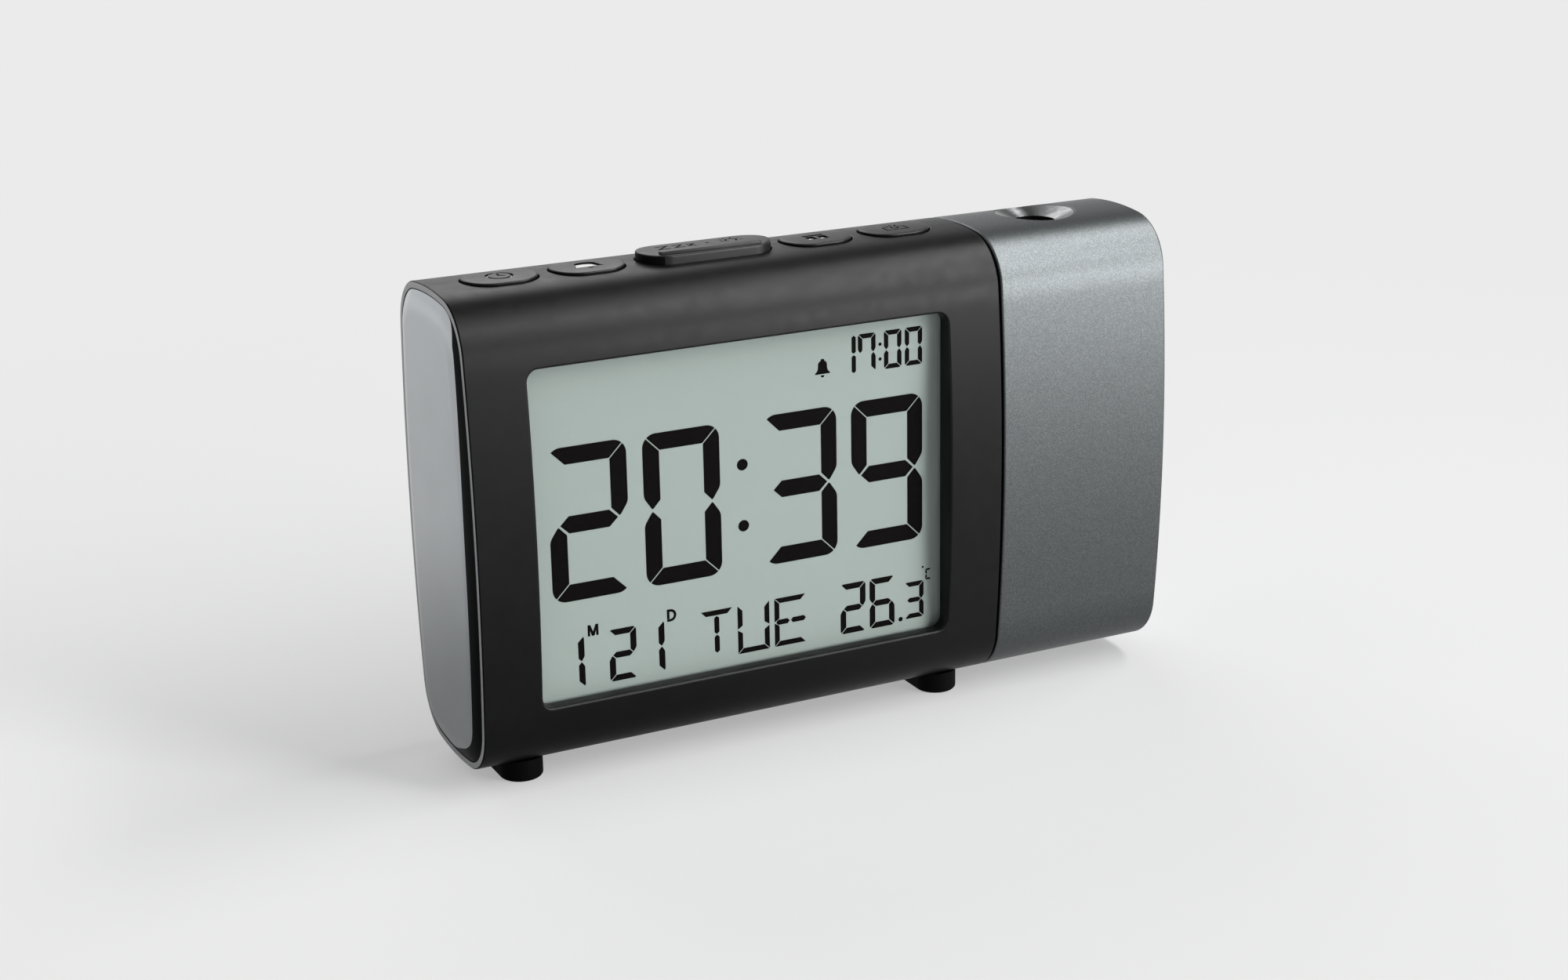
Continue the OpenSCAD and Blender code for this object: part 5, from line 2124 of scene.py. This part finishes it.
@dataclass(frozen=True)
class ProjectorHead:
    """The swivelling head: painted shell and the polished recess over the lens.

    Attributes:
        hole_lip: Round of the hole for the ring.
        ring_lip: Round of the ring's rim.
        ring_drop: How far its rim stays below the crown.
        rim_fall: How far the rim falls towards the recess.
        slope: Shares of the way down at which the recess has points.
        cone_foot_z: Height of the opening.
        ring_foot_z: Height of the ring's lower side.
    """

    wall: float = 1.8
    left_edge: EdgeRound = EdgeRound(0.35)
    right_edge: EdgeRound = EdgeRound(0.45)
    hole_lip: EdgeRound = EdgeRound(0.2, 4)
    hole_gap: float = 0.02
    ring_r: float = 7.1
    ring_lip: float = 0.14
    ring_drop: float = 0.1
    rim_width: float = 0.3
    rim_fall: float = 0.03
    slope: tuple[float, ...] = (0.0, 0.06, 0.94, 1.0)
    aperture_r: float = 3.6
    cone_foot_z: float = 38.35
    ring_foot_z: float = 35.2
    flange_r: float = 8.5
    flange_t: float = 1.4
    turns: int = 96

    def build(self, dresser: Dresser) -> None:
        """Makes the shell and the ring and dresses them.

        Args:
            dresser: Gives the finishes.
        """
        edges = self.left_edge, self.right_edge
        shell = Shell(HEAD_FROM, HEAD_LENGTH, self.wall, *edges, right_seat=True)
        piece = shell.draft().piece("head_cover")
        across = 2 * self.ring_r + 2 * self.hole_gap
        hole = RoundedOutline(across, across, self.ring_r + self.hole_gap, steps=20)
        carve(piece, [top_cutter(hole, (HEAD_MIDDLE, OPTIC_Y), self.hole_lip)])
        true_normals(piece, shell.normal)
        dresser.fit(piece, Body.HEAD, [Finish.HEAD], ["head_shell"])
        self.build_ring(dresser)

    def build_ring(self, dresser: Dresser) -> None:
        """Makes the recess ring by turning its profile about the optical axis.

        Args:
            dresser: Gives the finishes.
        """
        lip, low_z, inner_z = self.ring_lip, self.ring_foot_z, self.cone_foot_z
        bore, shelf_z = self.aperture_r, low_z + self.flange_t
        foot = [(bore, low_z), (self.flange_r, low_z), (self.flange_r, shelf_z), (self.ring_r, shelf_z)]
        soft, softer = 0.02, 0.08
        inner_r = bore + softer
        edge = [(bore + soft, inner_z - soft), (bore, inner_z - softer)]
        rings = []
        for i in range(self.turns):
            turn = 2 * math.pi * i / self.turns
            across, deep = math.cos(turn), math.sin(turn)
            rim_z = SECTION.crown_z(OPTIC_Y + self.ring_r * deep) - self.ring_drop
            rim = [(self.ring_r - lip + x, rim_z - lip + z) for x, z in arc((0, 0), lip, 0, 90, 4)]
            outer_r, upper_z = self.ring_r - self.rim_width, rim_z - self.rim_fall
            slope = [
                (outer_r + (inner_r - outer_r) * share, upper_z + (inner_z - upper_z) * share)
                for share in self.slope
            ]
            profile = foot + rim + slope + edge
            rings.append([(HEAD_MIDDLE + r * across, OPTIC_Y + r * deep, z) for r, z in profile])
        piece = lofted(rings, looped=True).piece("recess_ring", smooth=32.0)
        dresser.fit(piece, Body.HEAD, [Finish.RING, Finish.RUBBER], ["lens_ring"])
        reach = bore + soft / 2
        give_zone(piece, 1, lambda at, out: math.hypot(at.x - HEAD_MIDDLE, at.y - OPTIC_Y) < reach)


# ---- parts of the frame that keep their own shape ----

NODE_FINISHES: dict[str, Finish] = {
    "window_lens": Finish.WINDOW,
    "lcd_panel": Finish.LCD,
    "light_guide": Finish.GUIDE,
    "backlight_leds": Finish.LAMP,
    "zebra_strip": Finish.ZEBRA,
    "display_frame": Finish.MOULDING,
    "main_board": Finish.BOARD,
    "controller_blob": Finish.EPOXY,
    "quartz_crystal": Finish.TIN,
    "capacitors": Finish.SLEEVE,
    "temperature_sensor": Finish.SENSOR,
    "lead_connector": Finish.CREAM,
    "projector_lead": Finish.WIRE,
    "board_screws": Finish.SCREW,
    "key_board": Finish.BOARD,
    "key_switches": Finish.EPOXY,
    "battery_box": Finish.MOULDING,
    "upper_cell": Finish.CELL,
    "lower_cell": Finish.CELL,
    "battery_springs": Finish.SPRING,
    "battery_contacts": Finish.SPRING,
    "buzzer": Finish.EPOXY,
    "dc_inlet": Finish.EPOXY,
    "bearing_plate": Finish.MOULDING,
    "plate_screws": Finish.SCREW,
    "swivel_bush": Finish.BUSH,
    "wave_washer": Finish.SPRING,
    "time_plunger": Finish.PLUNGER,
    "alarm_plunger": Finish.PLUNGER,
    "snooze_plunger": Finish.PLUNGER,
    "calendar_plunger": Finish.PLUNGER,
    "projector_plunger": Finish.PLUNGER,
    "head_bulkhead": Finish.MOULDING,
    "retaining_clip": Finish.SPRING,
    "lens_barrel": Finish.MOULDING,
    "front_lens": Finish.LENS,
    "rear_lens": Finish.LENS,
    "image_lcd": Finish.IMAGE,
    "condenser_lens": Finish.LENS,
    "projector_led": Finish.LED,
    "led_board": Finish.BOARD,
    "lead_socket": Finish.CREAM,
    "optics_bracket": Finish.MOULDING,
    "head_screws": Finish.SCREW,
}


def dress_inner_parts(dresser: Dresser) -> None:
    """Gives every part that keeps its own shape its finish.

    Args:
        dresser: Gives the finishes.
    """
    for name, finish in NODE_FINISHES.items():
        dresser.dress(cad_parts[name], finish)
        LOG.info("%s: %s", name, finish.value.name)


# ---- studio ----


def turn_by_axes(holder: bpy.types.Object, right: Vector, up: Vector, back: Vector) -> None:
    """Turns a lamp or camera so that its own axes lie along three directions.

    Args:
        holder: The lamp or camera.
        right: Where its right side goes.
        up: Where its upper side goes.
        back: The direction away from what it looks at.
    """
    holder.rotation_mode = "QUATERNION"
    rows = [[axis[i] for axis in (right, up, back)] for i in range(3)]
    holder.rotation_quaternion = Matrix(rows).to_quaternion()


@dataclass(frozen=True)
class Softbox:
    """A rectangular lamp that points at the clock.

    Attributes:
        azimuth: Where it stands round the clock: 0 in front, 90 at the right, in degrees.
        elevation: How high it stands, in degrees.
        distance: How far away, in metres.
        radiance: How bright its face is.
        TARGET: What every lamp points at, in metres.
    """

    name: str
    azimuth: float
    elevation: float
    distance: float
    width: float
    height: float
    radiance: float

    TARGET: ClassVar[Vector] = Vector((0.0, 0.0, 0.04))

    def build(self) -> None:
        """Adds the lamp."""
        lamp = bpy.data.lights.new(self.name, "AREA")
        lamp.shape = "RECTANGLE"
        lamp.size, lamp.size_y = self.width, self.height
        lamp.energy = self.radiance * math.pi * self.width * self.height
        holder = bpy.data.objects.new(self.name, lamp)
        bpy.context.scene.collection.objects.link(holder)
        turn, rise = math.radians(self.azimuth), math.radians(self.elevation)
        back = Vector((math.sin(turn) * math.cos(rise), -math.cos(turn) * math.cos(rise), math.sin(rise)))
        holder.location = self.TARGET + back * self.distance
        across = Vector((math.cos(turn), math.sin(turn), 0.0))
        turn_by_axes(holder, across, back.cross(across), back)
        holder.visible_camera = False


@dataclass(frozen=True)
class Studio:
    """Plain pale floor, soft lamps, an even backdrop and the camera.

    Attributes:
        floor_tint: How much stronger blue is in the floor's grey.
        near_share: Share of the backdrop's glow in the floor under the clock; it is full at fade_to.
        mirrored_shade_share: Share of the glow that the clock mirrors from there, a painted shade darker than
            the floor.
        mirrored_shade_run: Distances from the clock over which that share grows to 1, as the painted shade
            fades.
        shadow_place: Middle of the shadow.
        shadow_share: Share of the glow that the clock mirrors from the shadow.
        shadow_run: Distances from its middle over which that share grows to 1.
        sky: Heights and brightnesses of the world, upwards.
    """

    backdrop: float = 0.83
    floor_colour: float = 0.66
    floor_tint: float = 1.005
    floor_size: float = 6.0
    near_share: float = 0.45
    mirrored_shade_share: float = 0.67
    mirrored_shade_run: Point2 = (0.05, 0.7)
    shadow_place: Point3 = (-0.085, -0.01, 0.0)
    shadow_share: float = 0.4
    shadow_run: Point2 = (0.03, 0.15)
    fade_from: float = 0.10
    fade_to: float = 0.40
    sky: tuple[Point2, ...] = ((0.13, 0.78), (0.25, 0.4), (0.45, 0.26), (0.62, 0.05), (1.0, 0.03))
    lens: float = 57.369
    sensor: float = 36.0
    clip: Point2 = (0.01, 20.0)
    camera_place: Point3 = (-0.185142, -0.369016, 0.170746)
    azimuth: float = 26.2937
    pitch: float = -17.7235
    roll: float = -1.0648

    lamps: tuple[Softbox, ...] = (
        Softbox("key_softbox", 75, 55, 2.2, 1.65, 0.40, 15.0),
        Softbox("side_softbox", 36, 36, 2.2, 0.55, 1.20, 14.0),
        Softbox("low_softbox", 40, 5.5, 2.2, 1.50, 0.385, 16.5),
        Softbox("rear_softbox", 177, 36, 1.6, 1.25, 0.90, 2.3),
        Softbox("left_softbox", -100, 50, 1.7, 1.30, 1.30, 0.9),
    )

    def build_floor(self) -> None:
        """Adds the floor, which keeps the shadow near the clock and turns into the backdrop further out."""
        mesh = bpy.data.meshes.new("floor")
        half = self.floor_size / 2
        corners = [(-half, -half, 0), (half, -half, 0), (half, half, 0), (-half, half, 0)]
        mesh.from_pydata(corners, [], [(0, 1, 2, 3)])
        floor = bpy.data.objects.new("floor", mesh)
        bpy.context.scene.collection.objects.link(floor)
        bench = NodeBench("floor_paper")
        grey = self.floor_colour
        bench.set(Base_Color=(grey, grey, grey * self.floor_tint, 1.0), Roughness=0.9)
        bench.set(Specular_IOR_Level=0.1)
        glow = bench.add("ShaderNodeEmission", Color=(*[self.backdrop] * 3, 1.0), Strength=1.0)
        path = bench.add("ShaderNodeLightPath")

        def run(middle: Point3, start: float, end: float, first: float) -> bpy.types.NodeSocket:
            """Runs from a value near a point of the floor to 1 further out.

            Args:
                middle: The point.
                start: Distance at which the run starts.
                end: Distance at which it ends.
                first: The value near the point.

            Returns:
                The run's value.
            """
            length = bench.add("ShaderNodeVectorMath", operation="DISTANCE")
            bench.join(bench.place, length.inputs[0])
            length.inputs[1].default_value = middle
            node = bench.add("ShaderNodeMapRange", interpolation_type="SMOOTHSTEP")
            node.inputs["From Min"].default_value = start
            node.inputs["From Max"].default_value = end
            node.inputs["To Min"].default_value = first
            bench.join(length.outputs["Value"], node.inputs["Value"])
            return node.outputs["Result"]

        def joined(kind: str, *values: bpy.types.NodeSocket) -> bpy.types.NodeSocket:
            """Joins two values.

            Args:
                kind: The operation.
                *values: The values.

            Returns:
                The result.
            """
            node = bench.add("ShaderNodeMath", operation=kind)
            for value, socket in zip(values, node.inputs):
                bench.join(value, socket)
            return node.outputs["Value"]

        camera_rays = path.outputs["Is Camera Ray"]
        mirrored = joined("MAXIMUM", path.outputs["Is Glossy Ray"], path.outputs["Is Transmission Ray"])
        centre = (0.0, 0.0, 0.0)
        fading = run(centre, self.fade_from, self.fade_to, self.near_share)
        share = joined("MAXIMUM", joined("MULTIPLY", camera_rays, fading), mirrored)
        # painted shade: what the clock mirrors of the floor is darkened near it and round a painted shadow at
        # its left
        mirrored_shade_near = run(centre, *self.mirrored_shade_run, self.mirrored_shade_share)
        shadow = run(self.shadow_place, *self.shadow_run, self.shadow_share)
        strength = joined("MAXIMUM", camera_rays, joined("MULTIPLY", mirrored_shade_near, shadow))
        bench.join(strength, glow.inputs["Strength"])
        mix = bench.add("ShaderNodeMixShader")
        bench.join(share, mix.inputs["Fac"])
        bench.join(bench.shader.outputs["BSDF"], mix.inputs[1])
        bench.join(glow.outputs["Emission"], mix.inputs[2])
        bench.join(mix.outputs["Shader"], bench.tree.nodes["Material Output"].inputs["Surface"])
        mesh.materials.append(bench.material)

    def build_world(self) -> None:
        """Adds the world: pale round the horizon and dim overhead."""
        world = bpy.data.worlds.new("studio")
        bpy.context.scene.world = world
        world.use_nodes = True
        tree = world.node_tree
        place = tree.nodes.new("ShaderNodeTexCoord")
        part = tree.nodes.new("ShaderNodeSeparateXYZ")
        ramp = tree.nodes.new("ShaderNodeValToRGB")
        tree.links.new(place.outputs["Generated"], part.inputs["Vector"])
        tree.links.new(part.outputs["Z"], ramp.inputs["Fac"])
        tree.links.new(ramp.outputs["Color"], tree.nodes["Background"].inputs["Color"])
        elements = ramp.color_ramp.elements
        while len(elements) < len(self.sky):
            elements.new(0.5)
        for element, (height, value) in zip(elements, self.sky):
            element.position = height
            element.color = (value, value, value, 1.0)

    def build_camera(self) -> None:
        """Adds the camera."""
        lens = bpy.data.cameras.new("camera")
        lens.lens = self.lens
        lens.sensor_width = self.sensor
        lens.clip_start, lens.clip_end = self.clip
        camera = bpy.data.objects.new("camera", lens)
        bpy.context.scene.collection.objects.link(camera)
        camera.location = self.camera_place
        turn, tilt = math.radians(self.azimuth), math.radians(self.pitch)
        forward = Vector((math.sin(turn) * math.cos(tilt), math.cos(turn) * math.cos(tilt), math.sin(tilt)))
        across = Vector((math.cos(turn), -math.sin(turn), 0.0))
        up = across.cross(forward)
        lean = math.radians(self.roll)
        right = across * math.cos(lean) + up * math.sin(lean)
        top = up * math.cos(lean) - across * math.sin(lean)
        turn_by_axes(camera, right, top, -forward)
        bpy.context.scene.camera = camera

    def build(self) -> None:
        """Adds everything of the studio."""
        bpy.context.scene.view_settings.view_transform = "Standard"
        self.build_floor()
        self.build_world()
        for lamp in self.lamps:
            lamp.build()
        self.build_camera()


def main() -> None:
    """Builds the clock's pieces in order, then the studio."""
    logging.basicConfig(level=logging.INFO, format="%(name)s: %(message)s", stream=sys.stdout)
    dresser = Dresser()
    row = KeyRow()
    caps = row.caps()
    MainCase().build(dresser, caps)
    EndDome("left_dome", "end_panel", Body.CASE, at=0.0, side=-1, wall=MainCase.wall).build(dresser)
    DisplayMarks().build(dresser)
    for cap in caps:
        cap.build(dresser)
    for name, middle in (("left_foot", 8.8), ("right_foot", 88.0)):
        Foot(name, middle).build(dresser)
    BatteryDoor().build(dresser)
    ProjectorHead().build(dresser)
    wall = ProjectorHead.wall
    EndDome("right_dome", "head_end_panel", Body.HEAD, FULL_LENGTH, side=1, wall=wall).build(dresser)
    dress_inner_parts(dresser)
    Studio().build()


if __name__ == "__main__":
    main()
